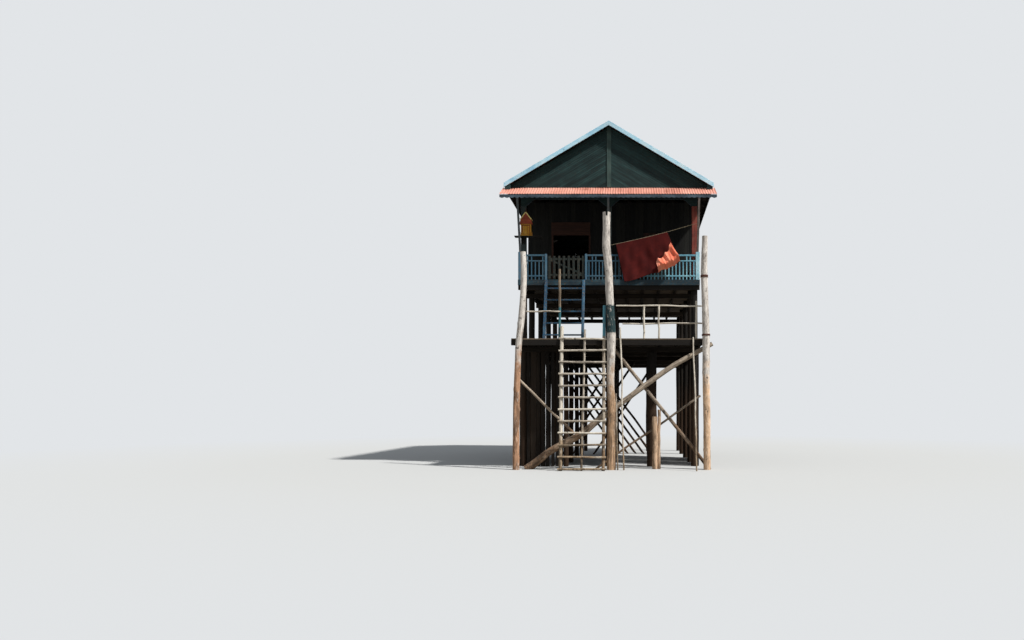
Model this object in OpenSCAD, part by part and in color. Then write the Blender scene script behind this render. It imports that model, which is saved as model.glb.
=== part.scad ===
// Stilt house: a room and a veranda on tall posts, over a lower platform on a forest of stilts.
// X runs across the house, Y from the front to the back and Z up. The origin is the foot of the
// middle post in the middle row, on the ground.

/* [Posts and rows] */
// Distance between the left, middle and right lines of posts
line_gap = 2600; // [2450:10:2750]
// Distance between the rows of posts under the room
row_gap = 2400; // [2200:10:2800]
// Depth of the veranda, from its front posts to the inner wall
veranda_depth = 1800; // [1600:10:2200]
// Diameter of a main stilt
stilt_d = 200; // [170:5:230]
// Diameter of an inner stilt under the lower platform
inner_stilt_d = 150; // [100:5:170]
// Diameter of the broad stilt at the front right
broad_stilt_d = 300; // [200:5:320]
// Width of a squared post above the house floor
post_w = 160; // [130:5:180]

/* [Levels] */
// Top of the lower platform above the ground
platform_top = 3770; // [3600:10:3900]
// Top of the house floor above the ground
floor_top = 5650; // [5500:10:5800]
// Height of the roof's ridge above the ground
ridge_top = 10400; // [10200:10:10700]

/* [Floors] */
// How far the lower platform runs out in front of the veranda posts
apron_depth = 1380; // [1300:10:1500]
// Thickness of the floor boards
board_t = 38; // [25:1:50]
// Width of a joist
joist_w = 70; // [50:5:80]
// Height of a joist
joist_h = 110; // [90:5:140]
// Width of a beam
beam_w = 80; // [60:5:100]
// Height of a beam
beam_h = 150; // [120:5:180]
// How far the house floor runs out in front of the veranda posts
floor_lip = 200; // [190:5:230]
// Height of the blue edge beam of the veranda
edge_beam_h = 170; // [160:5:200]
// Thickness of the blue edge beam
edge_beam_t = 40; // [25:5:60]

/* [Roof] */
// Slope of the roof in degrees
roof_pitch = 30.6; // [29.5:0.1:32]
// Half the width of the roof
roof_half = 3140; // [3100:10:3200]
// How far the roof runs past the end posts
roof_overhang = 320; // [300:10:500]
// Thickness of the roof sheets
sheet_t = 30; // [20:1:40]
// Thickness of a purlin, square to the roof
purlin_t = 50; // [40:1:60]
// Thickness of a rafter, square to the roof
rafter_t = 100; // [80:5:120]
// Width of a rafter
rafter_w = 50; // [40:5:70]
// Height of a bargeboard, measured plumb
barge_h = 135; // [125:5:160]
// Thickness of a bargeboard
barge_t = 28; // [20:1:40]
// Height of the board along each eave, measured plumb
eave_board_h = 150; // [130:5:170]
// Half the width of the ridge cap
cap_half = 230; // [150:10:260]
// Width of a wall plate
plate_w = 120; // [90:5:140]
// Height of a wall plate
plate_h = 120; // [100:5:140]
// Height of a tie beam
tie_h = 150; // [150:5:180]
// Width of a tie beam
tie_w = 100; // [80:5:120]
// Width of the ridge beam
ridge_beam_w = 100; // [70:5:120]
// Height of the ridge beam
ridge_beam_h = 120; // [90:5:150]

/* [Pent roof over the gable foot] */
// Half the length of the pent roof
pent_half = 3210; // [3150:10:3260]
// How far the pent roof stands out from the gable
pent_out = 705; // [640:5:760]
// Slope of the pent roof in degrees
pent_pitch = 28; // [25:0.5:30]
// Thickness of a pent rafter, measured plumb
pent_rafter_h = 60; // [45:5:70]
// Height of the scalloped valance at its lobes
valance_h = 95; // [80:5:120]
// Length of one scallop
scallop_w = 150; // [100:5:200]
// Depth of a scallop
scallop_d = 26; // [15:1:35]

/* [Fascia under the gable foot] */
// Depth of the veranda's fascia at the posts
fascia_h = 440; // [380:5:460]
// Depth of the cut-away between the posts
fascia_cut = 200; // [150:5:240]

/* [Walls] */
// Thickness of the board walls
wall_t = 30; // [20:1:40]
// Width of a window
window_w = 860; // [700:10:900]
// Height of a window
window_h = 920; // [800:10:1000]
// Height of the window sills above the floor
sill_h = 930; // [800:10:1000]
// Width of the doorway
door_w = 1150; // [1000:10:1200]
// Height of the doorway
door_h = 1765; // [1700:5:1900]
// Height of the panel over the doorway
transom_h = 425; // [350:5:450]
// Thickness of shutters, panel and door jambs
leaf_t = 22; // [15:1:30]

/* [Veranda rail and gate] */
// Height of the rail's top above the floor
rail_h = 775; // [720:5:850]
// Height of the second rail's middle above the floor
mid_rail_h = 580; // [520:5:620]
// Height of the bottom rail's middle above the floor
low_rail_h = 125; // [90:5:160]
// Distance between balusters
baluster_gap = 110; // [90:5:160]
// Width of a baluster
baluster_w = 34; // [28:1:50]
// Middle of the gateway, across the house
gate_x = -1302; // [-1350:1:-1250]
// Clear width of the gateway
gateway_w = 1149; // [1100:1:1200]
// Width of a gate picket
picket_w = 70; // [50:1:75]
// Number of gate pickets
picket_n = 8; // [7:1:9]
// Height of the gate above the floor
gate_h = 737; // [650:1:780]

/* [Ladders] */
// Diameter of a stile of the pole ladder
stile_d = 100; // [85:1:110]
// Diameter of a rung of the pole ladder
rung_d = 58; // [45:1:62]
// Distance from one rung to the next
rung_gap = 336; // [320:1:338]
// How far the rungs are let into the stiles
rung_notch = 14; // [8:1:18]
// Distance between the middles of the pole ladder's stiles
ladder_w = 1203; // [1100:1:1250]
// Middle of the pole ladder, across the house
ladder_x = -701; // [-720:1:-690]
// How far the foot of the pole ladder stands out from its head
ladder_out = 470; // [400:5:560]
// Width of a stile of the upper ladder, seen from the front
upper_stile_w = 80; // [60:1:90]
// Distance between the treads of the upper ladder
tread_gap = 360; // [340:1:370]
// Thickness of a tread of the upper ladder
tread_t = 40; // [30:1:60]

/* [Hidden] */

// Gap between pieces that lie against each other without a flat seat
seat = 0.3;
// Clearance of a hole in a floor round a post
hole_gap = 8;
// Joint between two board panels of a wall or a screen
panel_gap = 2;
// Sides of a swept log
log_sides = 12;

rows = [-row_gap - veranda_depth, -row_gap, 0, row_gap, 2 * row_gap];
lines = [-line_gap, 0, line_gap];

// Levels, from the floors down
plat_joist_top = platform_top - board_t;
plat_beam_top = plat_joist_top - joist_h;
plat_beam_bottom = plat_beam_top - beam_h;
floor_joist_top = floor_top - board_t;
girder_top = floor_joist_top - joist_h;
girder_bottom = girder_top - beam_h;

// Outlines of the floors
post_face = line_gap + post_w / 2;
floor_half = post_face + joist_w;
plat_half = line_gap + stilt_d / 2 + joist_w;
floor_front = rows[0] - floor_lip;
floor_back = rows[4] + post_w / 2 + wall_t + 40;
plat_front = rows[0] - apron_depth;
plat_back = rows[4] + stilt_d / 2 + 60;
front_beam_h = 160;

// Roof surfaces: the drop is measured plumb, down from the top of the sheets
function roof_z(x) = ridge_top - abs(x) * tan(roof_pitch);
sheet_drop = sheet_t / cos(roof_pitch);
purlin_drop = sheet_drop + seat + purlin_t / cos(roof_pitch);
rafter_drop = purlin_drop + seat + rafter_t / cos(roof_pitch);
roof_front = rows[0] - roof_overhang;
eave_board_t = 28;
roof_back = rows[4] + roof_overhang;
plate_top = roof_z(post_face) - rafter_drop - seat;
post_top = plate_top - plate_h;
ridge_beam_top = roof_z(ridge_beam_w / 2) - rafter_drop - seat;
ridge_post_top = ridge_beam_top - ridge_beam_h - seat;
wall_top = roof_z(post_face + wall_t) - rafter_drop - seat;

// Gable and pent roof
gable_t = 25;
gable_strip_w = 130;
front_face = rows[0] - post_w / 2;
gable_face = front_face - gable_t;
gable_base = post_top - tie_h + 10;
pent_top = gable_base + 125;
pent_drop = sheet_t / cos(pent_pitch);
pent_under = pent_drop + seat;
function pent_z(out) = pent_top - out * tan(pent_pitch);
batten_w = 50;
batten_h = 60;
valance_t = 22;
valance_out = pent_out - 30;

// Walls
room_front = rows[1] - post_w / 2;
room_back = rows[4] + post_w / 2;
window_bottom = floor_top + sill_h;
window_top = window_bottom + window_h;
door_x = gate_x;
front_window_x = 1486;

// Veranda rail
rail_y = rows[0] - 150;
rail_t = 40;
corner_post_w = 120;
corner_post_x = line_gap + 90;
corner_post_h = 850;
gate_post_w = 70;
gate_post_h = rail_h + 15;

// Gate: its leaf, and the pins that carry it
gate_post_back = rail_y + gate_post_w / 2;
gate_hinge_gap = 17;
gate_latch_gap = 37;
gate_lift = 40;
gate_left = gate_x - gateway_w / 2 + gate_latch_gap;
gate_right = gate_x + gateway_w / 2 - gate_hinge_gap;
gate_rail_t = 25;
picket_t = 15;
strap_t = 4;
eye_d = 22;
pin_d = 11;
pin_gap = 0.4;
hinge_x = gate_x + gateway_w / 2 - gate_hinge_gap / 2;
hinge_y = gate_post_back + eye_d / 2;
strap_h = 40;
strap_l = 260;
hinge_zs = [floor_top + 155, floor_top + 640];

// Logs in front of the platform: [x, z, diameter], with their backs in one plane
log_back = plat_front - seat;
function upright(path, x) =
    [for (p = path) [x + p[0], log_back - p[2] / 2, p[1], p[2]]];
left_log_path = upright([[-10, 0, 195], [0, 1800, 186], [22, 2600, 182], [68, 3650, 176],
    [138, 4300, 184], [182, 4850, 176], [214, 5540, 166], [188, 6240, 152]], -line_gap);
centre_log_path = upright([[117, 0, 256], [123, 900, 240], [122, 1800, 226],
    [92, 2560, 214], [112, 3300, 228], [121, 3800, 252], [86, 4700, 222], [61, 5130, 226],
    [46, 5540, 214], [12, 6000, 222], [-22, 6290, 228], [-20, 6900, 212],
    [-17, 7250, 226]], 0);
right_log_path = upright([[255, 0, 206], [247, 1800, 200], [231, 2560, 206],
    [226, 3800, 208], [196, 4850, 194], [176, 5540, 186], [196, 6690, 164]], line_gap);
// The forked top of the centre log
fork_w = 60;
fork_depth = 110;

// Braces between the logs and the stilts: [x, z, diameter]
long_brace_line = [[-2357, 0, 230], [-2140, 147, 225], [-1650, 520, 205],
    [-1200, 770, 215], [-750, 1010, 190], [-350, 1350, 185], [250, 1800, 160],
    [1000, 2360, 152], [2000, 3050, 146], [2640, 3410, 136], [3020, 3620, 126]];
long_brace_path = [for (p = long_brace_line)
    [p[0] * line_gap / 2600, plat_front + p[2] / 2, p[1], p[2]]];

// Cross brace: it falls to the right behind the long brace and touches it where they cross
cross_d = 100;
cross_head = [131, 3560];
cross_foot = [2990, -10];
cross_y = plat_front + 152 + cross_d / 2 + seat;
cross_fall = (cross_head[1] - cross_foot[1]) / (cross_foot[0] - cross_head[0]);
cross_lean = atan(cross_fall);
function cross_under(x) = cross_head[1] - (x - cross_head[0]) * cross_fall
    - cross_d / 2 / cos(cross_lean);

// Left brace: it runs from the back of the left log down onto the long brace
left_brace_d = 72;
left_brace_head = [-line_gap, plat_front + left_brace_d / 2, 2640];
rest_a = long_brace_path[3];
rest_b = long_brace_path[4];
rest_mid = rest_a + (rest_b - rest_a) * 2 / 3;
rest_run = unit([rest_b[0] - rest_a[0], rest_b[2] - rest_a[2]]);
rest_up = [-rest_run[1], rest_run[0]];
left_brace_run = unit([rest_mid[0] - left_brace_head[0], rest_mid[2] - left_brace_head[2]]);
left_brace_dip = left_brace_d / 2
    * abs(left_brace_run[0] * rest_up[1] - left_brace_run[1] * rest_up[0]);
left_brace_gap = rest_mid[3] / 2 + left_brace_dip + seat;

// Short posts under the cross brace, and a stick behind them
short_d = 88;
short_x = 1494;
stump_d = 160;
stump_x = short_x - short_d / 2 - stump_d / 2 - 0.5;

// Pole ladder: the stiles lean on the upper front edge of the platform
rungs_n = 12;
first_rung_z = 52;
ladder_lean = atan(ladder_out / platform_top);
ladder_head_y = plat_front - stile_d / 2 / cos(ladder_lean) - seat;
function ladder_y(z) = ladder_head_y + (z - platform_top) * tan(ladder_lean);
rung_out = (stile_d / 2 + rung_d / 2 - rung_notch) / cos(ladder_lean);
rung_half = ladder_w / 2 + stile_d / 2 + 30;
function rung_tilt(i) = 0.9 * sin(i * 137);

// Upper ladder: its stiles stand on the platform and lean on the edge beam
edge_face = floor_front - edge_beam_t;
upper_ladder_x = gate_x - 15;
upper_ladder_w = 1130;
upper_stile_t = 110;
upper_foot_y = edge_face - 640;
upper_head_y = edge_face - upper_stile_t / 2 - seat;
upper_head_z = floor_top - 20;
first_tread_z = 150;
treads_n = 5;

// Props that carry the edge of the pent roof
prop_w = 60;
prop_top = [gable_face - valance_out + prop_w / 2 + seat,
    pent_z(valance_out) - pent_under - batten_h];

// Shrine at the left veranda post
shelf_top = 6970;
shrine_x = -line_gap + 95;
shrine_y = front_face - 105;
shrine_w = 300;
shrine_h = 330;

// Sunshade: its line runs from the middle prop to the right prop
line_d = 10;
shade_low = 6690;
shade_high = 7300;
function prop_y(z) = rail_y + (prop_top[0] - rail_y)
    * (z - floor_top - corner_post_h) / (prop_top[1] - floor_top - corner_post_h);

timber = [0.36, 0.30, 0.25];
bark = [0.78, 0.75, 0.69];
blue = [0.28, 0.47, 0.58];
gable_green = [0.22, 0.26, 0.25];

// A squared piece from one corner to the other
module block(a, b) {
    translate(a) cube([b[0] - a[0], b[1] - a[1], b[2] - a[2]]);
}

// A straight round pole from a to b
module pole(a, b, d) {
    v = b - a;
    translate(a)
        rotate([0, acos(v[2] / norm(v)), atan2(v[1], v[0])])
            rotate(90) cylinder(d = d, h = norm(v), $fn = 48);
}

// Whatever stands on the ground, cut level at its foot
module grounded() {
    difference() {
        children();
        translate([-9000, -9000, -900]) cube([18000, 18000, 900]);
    }
}

// A bar with level ends from a to b, w wide and t deep
module leaning_bar(a, b, w, t) {
    corners = [[-1, -1], [1, -1], [1, 1], [-1, 1]];
    polyhedron(
        points = concat(
            [for (c = corners) a + [c[0] * w / 2, c[1] * t / 2, 0]],
            [for (c = corners) b + [c[0] * w / 2, c[1] * t / 2, 0]]),
        faces = [[0, 1, 2, 3], [7, 6, 5, 4], [0, 4, 5, 1], [1, 5, 6, 2],
            [2, 6, 7, 3], [3, 7, 4, 0]]);
}

function unit(v) = v / norm(v);
function along(path, i) = [for (k = [0:2])
    path[min(i + 1, len(path) - 1)][k] - path[max(i - 1, 0)][k]];
// The direction of a ring: plumb at a foot on the ground, so that the foot is level
function ring_way(path, i) = i == 0 && path[0][2] == 0 ? [0, 0, 1] : unit(along(path, i));

// A crooked log along [x, y, z, diameter] points
module crooked_log(path, sides = log_sides) {
    n = len(path);
    points = [for (i = [0:n - 1])
        let (t = ring_way(path, i), u = unit(cross([0, 1, 0], t)), v = cross(t, u),
            p = [path[i][0], path[i][1], path[i][2]], r = path[i][3] / 2)
        for (k = [0:sides - 1])
            p + r * (cos(360 * k / sides) * u + sin(360 * k / sides) * v)];
    skin = [for (i = [0:n - 2]) for (k = [0:sides - 1])
        let (a = i * sides + k, b = i * sides + (k + 1) % sides)
        [a, a + sides, b + sides, b]];
    polyhedron(
        points = points,
        faces = concat([[for (k = [0:sides - 1]) k]],
            [[for (k = [sides - 1:-1:0]) (n - 1) * sides + k]], skin),
        convexity = 4);
}

// A band of the roof between x0 and x1, from one drop to another, on one side of the ridge
module roof_band(side, x0, x1, high, low, y0, y1) {
    mirror([side < 0 ? 1 : 0, 0, 0])
        translate([0, y1, 0]) rotate([90, 0, 0]) linear_extrude(height = y1 - y0)
            polygon([[x0, roof_z(x0) - high], [x1, roof_z(x1) - high],
                [x1, roof_z(x1) - low], [x0, roof_z(x0) - low]]);
}

// A flat piece drawn in X and Z, between two values of Y
module upright_plate(outline, y0, y1) {
    translate([0, y1, 0]) rotate([90, 0, 0]) linear_extrude(height = y1 - y0)
        polygon(outline);
}

// A flat piece drawn in Y and Z, between two values of X
module profile_plate(outline, x0, x1) {
    translate([x0, 0, 0]) rotate([90, 0, 90]) linear_extrude(height = x1 - x0)
        polygon(outline);
}

module stilts() {
    color(timber) for (x = lines, y = rows)
        translate([x, y, 0]) cylinder(d = stilt_d, h = girder_top, $fn = 48);
}

module inner_stilts() {
    color(timber) for (side = [-1, 1], i = [0:4])
        translate([side * line_gap / 2, rows[i] - stilt_d / 2 - beam_w / 2, 0])
            cylinder(d = side > 0 && i == 0 ? broad_stilt_d : inner_stilt_d,
                h = plat_beam_bottom, $fn = 48);
}

module left_log() {
    color(bark) crooked_log(left_log_path);
}

module centre_log() {
    top = centre_log_path[len(centre_log_path) - 1];
    color(bark) {
        difference() {
            crooked_log(concat(centre_log_path, [[top[0], top[1], top[2] + 110, top[3]]]));
            translate([top[0] - fork_w / 2, top[1] - 200, top[2] + 110 - fork_depth])
                cube([fork_w, 400, fork_depth + 1]);
        }
    }
}

module right_log() {
    color(bark) crooked_log(right_log_path);
}

module long_brace() {
    color(bark) crooked_log(long_brace_path);
}

// The brace behind the long one, the one from the left log, and the stick behind the stump
module cross_braces() {
    stick_d = 62;
    stick_y = cross_y + stump_d / 2 + stick_d / 2 + seat;
    left_foot = [rest_mid[0] + rest_up[0] * left_brace_gap, rest_mid[1],
        rest_mid[2] + rest_up[1] * left_brace_gap];
    color(bark) {
        grounded() pole([cross_foot[0], cross_y, cross_foot[1]],
            [cross_head[0], cross_y, cross_head[1]], cross_d);
        pole(left_foot, left_brace_head, left_brace_d);
        grounded() pole([-383, stick_y, -10], [2700, stick_y, 2130], stick_d);
    }
}

// A pole that stands in front of the platform and leans on its upper edge
module lean_pole(foot_x, head_x, out, head_z, d) {
    k = out / platform_top;
    edge = plat_front - d / 2 * sqrt(1 + k * k) - seat;
    grounded() pole([foot_x, edge - out - 20 * k, -20],
        [head_x, edge - out + k * head_z, head_z], d);
}

// Thin leaning poles, and the two short posts under the cross brace
module thin_poles() {
    flank_d = 42;
    ring = centre_log_path[2];
    flank = [ring[0] + ring[3] / 2 + flank_d / 2 + 2 * seat, ring[1], ring[2]];
    flank_way = [-0.027, 0.073, 1];
    color(bark) {
        lean_pole(480, 368, 250, platform_top + 310, 46);
        lean_pole(2520, 2462, 620, platform_top + 30, 44);
        grounded() pole(flank - (flank[2] + 20) * flank_way, flank + 380 * flank_way, flank_d);
        translate([stump_x, cross_y, 0]) cylinder(d = stump_d, h = 1520, $fn = 48);
        translate([short_x, cross_y, 0])
            cylinder(d = short_d, h = cross_under(short_x + short_d / 2) - seat, $fn = 48);
    }
}

// Crossed poles on the fourth row: one set behind the stilts, one in front
module rear_braces() {
    pole_d = 84;
    behind = rows[3] + stilt_d / 2 + pole_d / 2 + seat;
    ahead = rows[3] - stilt_d / 2 - beam_w / 2 - inner_stilt_d / 2 - pole_d / 2 - seat;
    first = -line_gap + 200;
    color(timber) {
        for (i = [0:5]) grounded()
            pole([first + i * 310, behind, plat_beam_top - 60],
                [first + i * 310 + line_gap, behind, -40], pole_d);
        for (i = [0, 1, 2, 4]) grounded()
            pole([first - 50 + i * 400, ahead, -40],
                [first - 250 + i * 400 + line_gap, ahead, plat_beam_bottom + 100], pole_d);
    }
}

// Upright planks in the front left bay, with the slits between them
module front_planks() {
    y = rows[0] - stilt_d / 2 - seat - beam_w / 2;
    edges = [[110, 195], [228, 400], [408, 500], [535, 675], [683, 790], [850, 945],
        [990, 1120], [1128, 1205]];
    for (e = edges)
        block([-line_gap + e[0], y - 14, 0],
            [min(-line_gap + e[1], -line_gap / 2 - inner_stilt_d / 2 - 5), y + 14,
                plat_beam_bottom]);
}

// The front planks, and planks under both sides in the two front bays
module plank_screens() {
    x0 = line_gap + stilt_d / 2 + 18;
    color(timber) front_planks();
    color(timber) for (side = [-1, 1], i = [0, 1]) {
        from = rows[i] + stilt_d / 2;
        to = rows[i + 1] - stilt_d / 2 - beam_w - 30;
        n = 4 + i;
        step = (to - from) / n;
        for (k = [0:n - 1])
            mirror([side < 0 ? 1 : 0, 0, 0])
                block([x0, from + k * step + 12, 0],
                    [x0 + 30, from + (k + 1) * step - 12, plat_beam_top]);
    }
}

// Beams across the house: one under the platform's front edge, and one at each row
module beams_across(half, low, high) {
    for (y = rows)
        block([-half, y - stilt_d / 2 - seat - beam_w, low], [half, y - stilt_d / 2 - seat, high]);
}

module platform_beams() {
    color(timber) {
        beams_across(plat_half, plat_beam_bottom, plat_beam_top);
        block([-plat_half, plat_front, plat_joist_top - front_beam_h],
            [plat_half, plat_front + beam_w, plat_joist_top]);
    }
}

// Joists along the house, clear of the posts
module joists_along(outer, y0, y1, low, high) {
    for (side = [-1, 1], x = concat([for (k = [1:4]) line_gap * k / 5], [outer]))
        block([side * x - joist_w / 2, y0, low], [side * x + joist_w / 2, y1, high]);
}

module platform_joists() {
    color(timber)
        joists_along(plat_half - joist_w / 2, plat_front + beam_w, plat_back,
            plat_beam_top, plat_joist_top);
}

module platform_deck() {
    color([0.55, 0.47, 0.38]) difference() {
        block([-plat_half, plat_front, plat_joist_top], [plat_half, plat_back, platform_top]);
        for (x = lines, y = rows)
            translate([x, y, plat_joist_top - 1])
                cylinder(d = stilt_d + 2 * hole_gap, h = board_t + 2, $fn = 48);
    }
}

// Rails and uprights on the platform's edge, between the logs
module platform_rails() {
    up_y = plat_front + 45;
    up_d = 56;
    rail_d = 44;
    rail_at = up_y + up_d / 2 + rail_d / 2 + seat;
    hand_d = 70;
    hand_x = ladder_x - ladder_w / 2 - 76;
    left_end = -line_gap + 270;
    right_end = line_gap + 260;
    color(bark) {
        for (u = [[1054, 940], [1483, 940], [2560, 1080]])
            translate([u[0], up_y, platform_top]) cylinder(d = up_d, h = u[1], $fn = 32);
        translate([hand_x, up_y, platform_top]) cylinder(d = hand_d, h = 2000, $fn = 32);
        pole([250, rail_at, platform_top + 950], [right_end, rail_at, platform_top + 942],
            rail_d);
        pole([430, rail_at, platform_top + 430], [right_end, rail_at, platform_top + 445],
            rail_d);
        pole([left_end, up_y - hand_d / 2 - rail_d / 2 - seat, platform_top + 774],
            [hand_x + 30, up_y - hand_d / 2 - rail_d / 2 - seat, platform_top + 770],
            rail_d);
    }
}

// Where a rung crosses the stiles
module rung(i, extra = 0) {
    z = first_rung_z + i * rung_gap;
    translate([ladder_x, ladder_y(z) - rung_out, z])
        rotate([0, 90 + rung_tilt(i), 0])
            cylinder(d = rung_d + extra, h = 2 * rung_half, center = true, $fn = 32);
}

// A stile whose front lies level with the thickest one's, so that a rung seats in all
module ladder_pole(x0, x1, top, d) {
    ahead = (stile_d - d) / 2 / cos(ladder_lean);
    grounded()
        pole([x0, ladder_y(-60) - ahead, -60], [x1, ladder_y(top) - ahead, top], d);
}

module ladder_stiles() {
    left = ladder_x - ladder_w / 2;
    right = ladder_x + ladder_w / 2;
    color(bark) difference() {
        union() {
            ladder_pole(left, left, platform_top + 340, stile_d);
            ladder_pole(right, right + 10, platform_top + 950, stile_d - 12);
            ladder_pole(ladder_x - 10, ladder_x + 60, platform_top + 250, 62);
        }
        for (i = [0:rungs_n - 1]) rung(i, 2 * seat);
    }
}

module ladder_rungs() {
    color(bark) for (i = [0:rungs_n - 1]) rung(i);
}

function upper_y(z) = upper_foot_y + (upper_head_y - upper_foot_y)
    * (z - platform_top) / (upper_head_z - platform_top);

module upper_ladder_stiles() {
    color(blue) for (side = [-1, 1]) {
        x = upper_ladder_x + side * upper_ladder_w / 2;
        leaning_bar([x, upper_foot_y, platform_top], [x, upper_head_y, upper_head_z],
            upper_stile_w, upper_stile_t);
    }
}

module upper_ladder_treads() {
    half = upper_ladder_w / 2 - upper_stile_w / 2;
    color(blue) for (i = [0:treads_n - 1]) {
        z = platform_top + first_tread_z + i * tread_gap;
        y = upper_y(z);
        block([upper_ladder_x - half, y - 45, z - tread_t / 2],
            [upper_ladder_x + half, y + 45, z + tread_t / 2]);
    }
}

module floor_beams() {
    color(timber) beams_across(floor_half, girder_bottom, girder_top);
}

module floor_joists() {
    color(timber)
        joists_along(floor_half - joist_w / 2, floor_front, floor_back, girder_top,
            floor_joist_top);
}

module floor_deck() {
    hole = post_w / 2 + hole_gap / 2;
    color([0.5, 0.42, 0.34]) difference() {
        block([-floor_half, floor_front, floor_joist_top],
            [floor_half, floor_back, floor_top]);
        for (x = lines, y = rows)
            block([x - hole, y - hole, floor_joist_top - 1], [x + hole, y + hole, floor_top + 1]);
    }
}

module edge_beam() {
    color(blue)
        block([-floor_half, edge_face, floor_top - edge_beam_h],
            [floor_half, floor_front, floor_top]);
}

// A rail panel along X from 0 to length: three rails, tall balusters and short ones between
module rail_panel(length) {
    n = max(2, round(length / baluster_gap));
    step = length / n;
    half_t = rail_t / 2;
    for (r = [[low_rail_h, 40], [mid_rail_h, 34], [rail_h - 24, 48]])
        block([0, -half_t, r[0] - r[1] / 2], [length, half_t, r[0] + r[1] / 2]);
    for (i = [0:n - 1])
        block([(i + 0.5) * step - baluster_w / 2, -12, 0],
            [(i + 0.5) * step + baluster_w / 2, 12,
                i % 4 == 1 || i % 4 == 2 ? rail_h - 30 : mid_rail_h]);
}

module front_rail_panel(x0, x1) {
    color(blue) translate([x0, rail_y, floor_top]) rail_panel(x1 - x0);
}

// Three panels: left of the gateway, from there to the middle post, and on to the right
module front_balustrade() {
    front_rail_panel(-corner_post_x + corner_post_w / 2,
        gate_x - gateway_w / 2 - gate_post_w);
    front_rail_panel(gate_x + gateway_w / 2 + gate_post_w, -gate_post_w / 2);
    front_rail_panel(gate_post_w / 2, corner_post_x - corner_post_w / 2);
}

module side_balustrades() {
    from = rail_y + 30;
    color(blue) for (side = [-1, 1])
        translate([side * (post_face + 35), from, floor_top]) rotate([0, 0, 90])
            rail_panel(room_front - wall_t - from);
}

module rail_posts() {
    color(blue) {
        for (side = [-1, 1])
            block([side * corner_post_x - corner_post_w / 2, rail_y - 30, floor_top],
                [side * corner_post_x + corner_post_w / 2, rail_y + 30,
                    floor_top + corner_post_h]);
        for (x = [gate_x - gateway_w / 2 - gate_post_w / 2,
            gate_x + gateway_w / 2 + gate_post_w / 2])
            block([x - gate_post_w / 2, rail_y - gate_post_w / 2, floor_top],
                [x + gate_post_w / 2, rail_y + gate_post_w / 2, floor_top + gate_post_h]);
        block([-gate_post_w / 2, rail_y - 30, floor_top],
            [gate_post_w / 2, rail_y + 30, floor_top + corner_post_h]);
    }
}

// Picket gate: pickets on two rails and a brace, and the strap eyes that turn on the pins
module gate() {
    rail_back = gate_post_back;
    rail_front = rail_back - gate_rail_t;
    low = floor_top + 155;
    high = floor_top + 640;
    width = gate_right - gate_left;
    step = (width - picket_w) / (picket_n - 1);
    color([0.5, 0.52, 0.48]) {
        for (i = [0:picket_n - 1])
            block([gate_left + i * step, rail_front - picket_t, floor_top + gate_lift],
                [gate_left + i * step + picket_w, rail_front, floor_top + gate_h]);
        for (z = [low, high])
            block([gate_left, rail_front, z - 32], [gate_right, rail_back, z + 32]);
        upright_plate([[gate_right - 10, low + 20], [gate_right - 70, low + 20],
            [gate_left + 10, high - 20], [gate_left + 70, high - 20]],
            rail_front, rail_front + 18);
    }
    color([0.35, 0.35, 0.36]) difference() {
        for (z = hinge_zs) {
            block([gate_right - strap_l, rail_back, z - strap_h / 2],
                [hinge_x, rail_back + strap_t, z + strap_h / 2]);
            translate([hinge_x, hinge_y, z - strap_h / 2])
                cylinder(d = eye_d, h = strap_h, $fn = 32);
        }
        for (z = hinge_zs)
            translate([hinge_x, hinge_y, z - strap_h])
                cylinder(d = pin_d + 2 * pin_gap, h = 2 * strap_h, $fn = 32);
    }
}

// Pins on the gate post: a plate, a lug under the eye and the pin itself
module hinge_pins() {
    post_x = gate_x + gateway_w / 2;
    color([0.35, 0.35, 0.36]) for (z = hinge_zs) {
        base = z - strap_h / 2 - 1;
        block([post_x + 2, gate_post_back, base - 60],
            [post_x + 56, gate_post_back + strap_t, base]);
        block([hinge_x, gate_post_back + 0.5, base - 24],
            [post_x + 10, gate_post_back + strap_t, base]);
        translate([hinge_x, hinge_y, base - 24]) cylinder(d = eye_d - 1, h = 24, $fn = 32);
        translate([hinge_x, hinge_y, base - 24])
            cylinder(d = pin_d, h = 24 + strap_h + 12, $fn = 32);
    }
}

module squared_post(x, y, top) {
    block([x - post_w / 2, y - post_w / 2, girder_top], [x + post_w / 2, y + post_w / 2, top]);
}

module veranda_posts() {
    color([0.45, 0.28, 0.25]) for (x = lines)
        squared_post(x, rows[0], x == 0 ? ridge_post_top : post_top);
}

module room_posts() {
    color(timber) for (x = lines, i = [1:4])
        squared_post(x, rows[i], x == 0 ? ridge_post_top : post_top);
}

// A board wall along X from x0 to x1: panels beside, under and over each window
module window_wall(x0, x1, top, windows) {
    cuts = concat([x0 - panel_gap / 2],
        [for (w = windows) for (s = [-1, 1]) w + s * window_w / 2], [x1 + panel_gap / 2]);
    for (i = [0:2:len(cuts) - 1])
        block([cuts[i] + panel_gap / 2, 0, floor_top], [cuts[i + 1] - panel_gap / 2, wall_t, top]);
    for (w = windows) {
        a = w - window_w / 2 + panel_gap / 2;
        b = w + window_w / 2 - panel_gap / 2;
        block([a, 0, floor_top], [b, wall_t, window_bottom]);
        block([a, 0, window_top], [b, wall_t, top]);
    }
}

// The inner wall behind the veranda, with the doorway and one window
module front_wall() {
    end = post_face + wall_t;
    left = door_x - door_w / 2;
    right = door_x + door_w / 2;
    color(timber) translate([0, room_front - wall_t, 0]) {
        window_wall(right, end, post_top, [front_window_x]);
        block([-end, 0, floor_top], [left - panel_gap, wall_t, post_top]);
        block([left, 0, floor_top + door_h], [right - panel_gap, wall_t, post_top]);
    }
}

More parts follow.
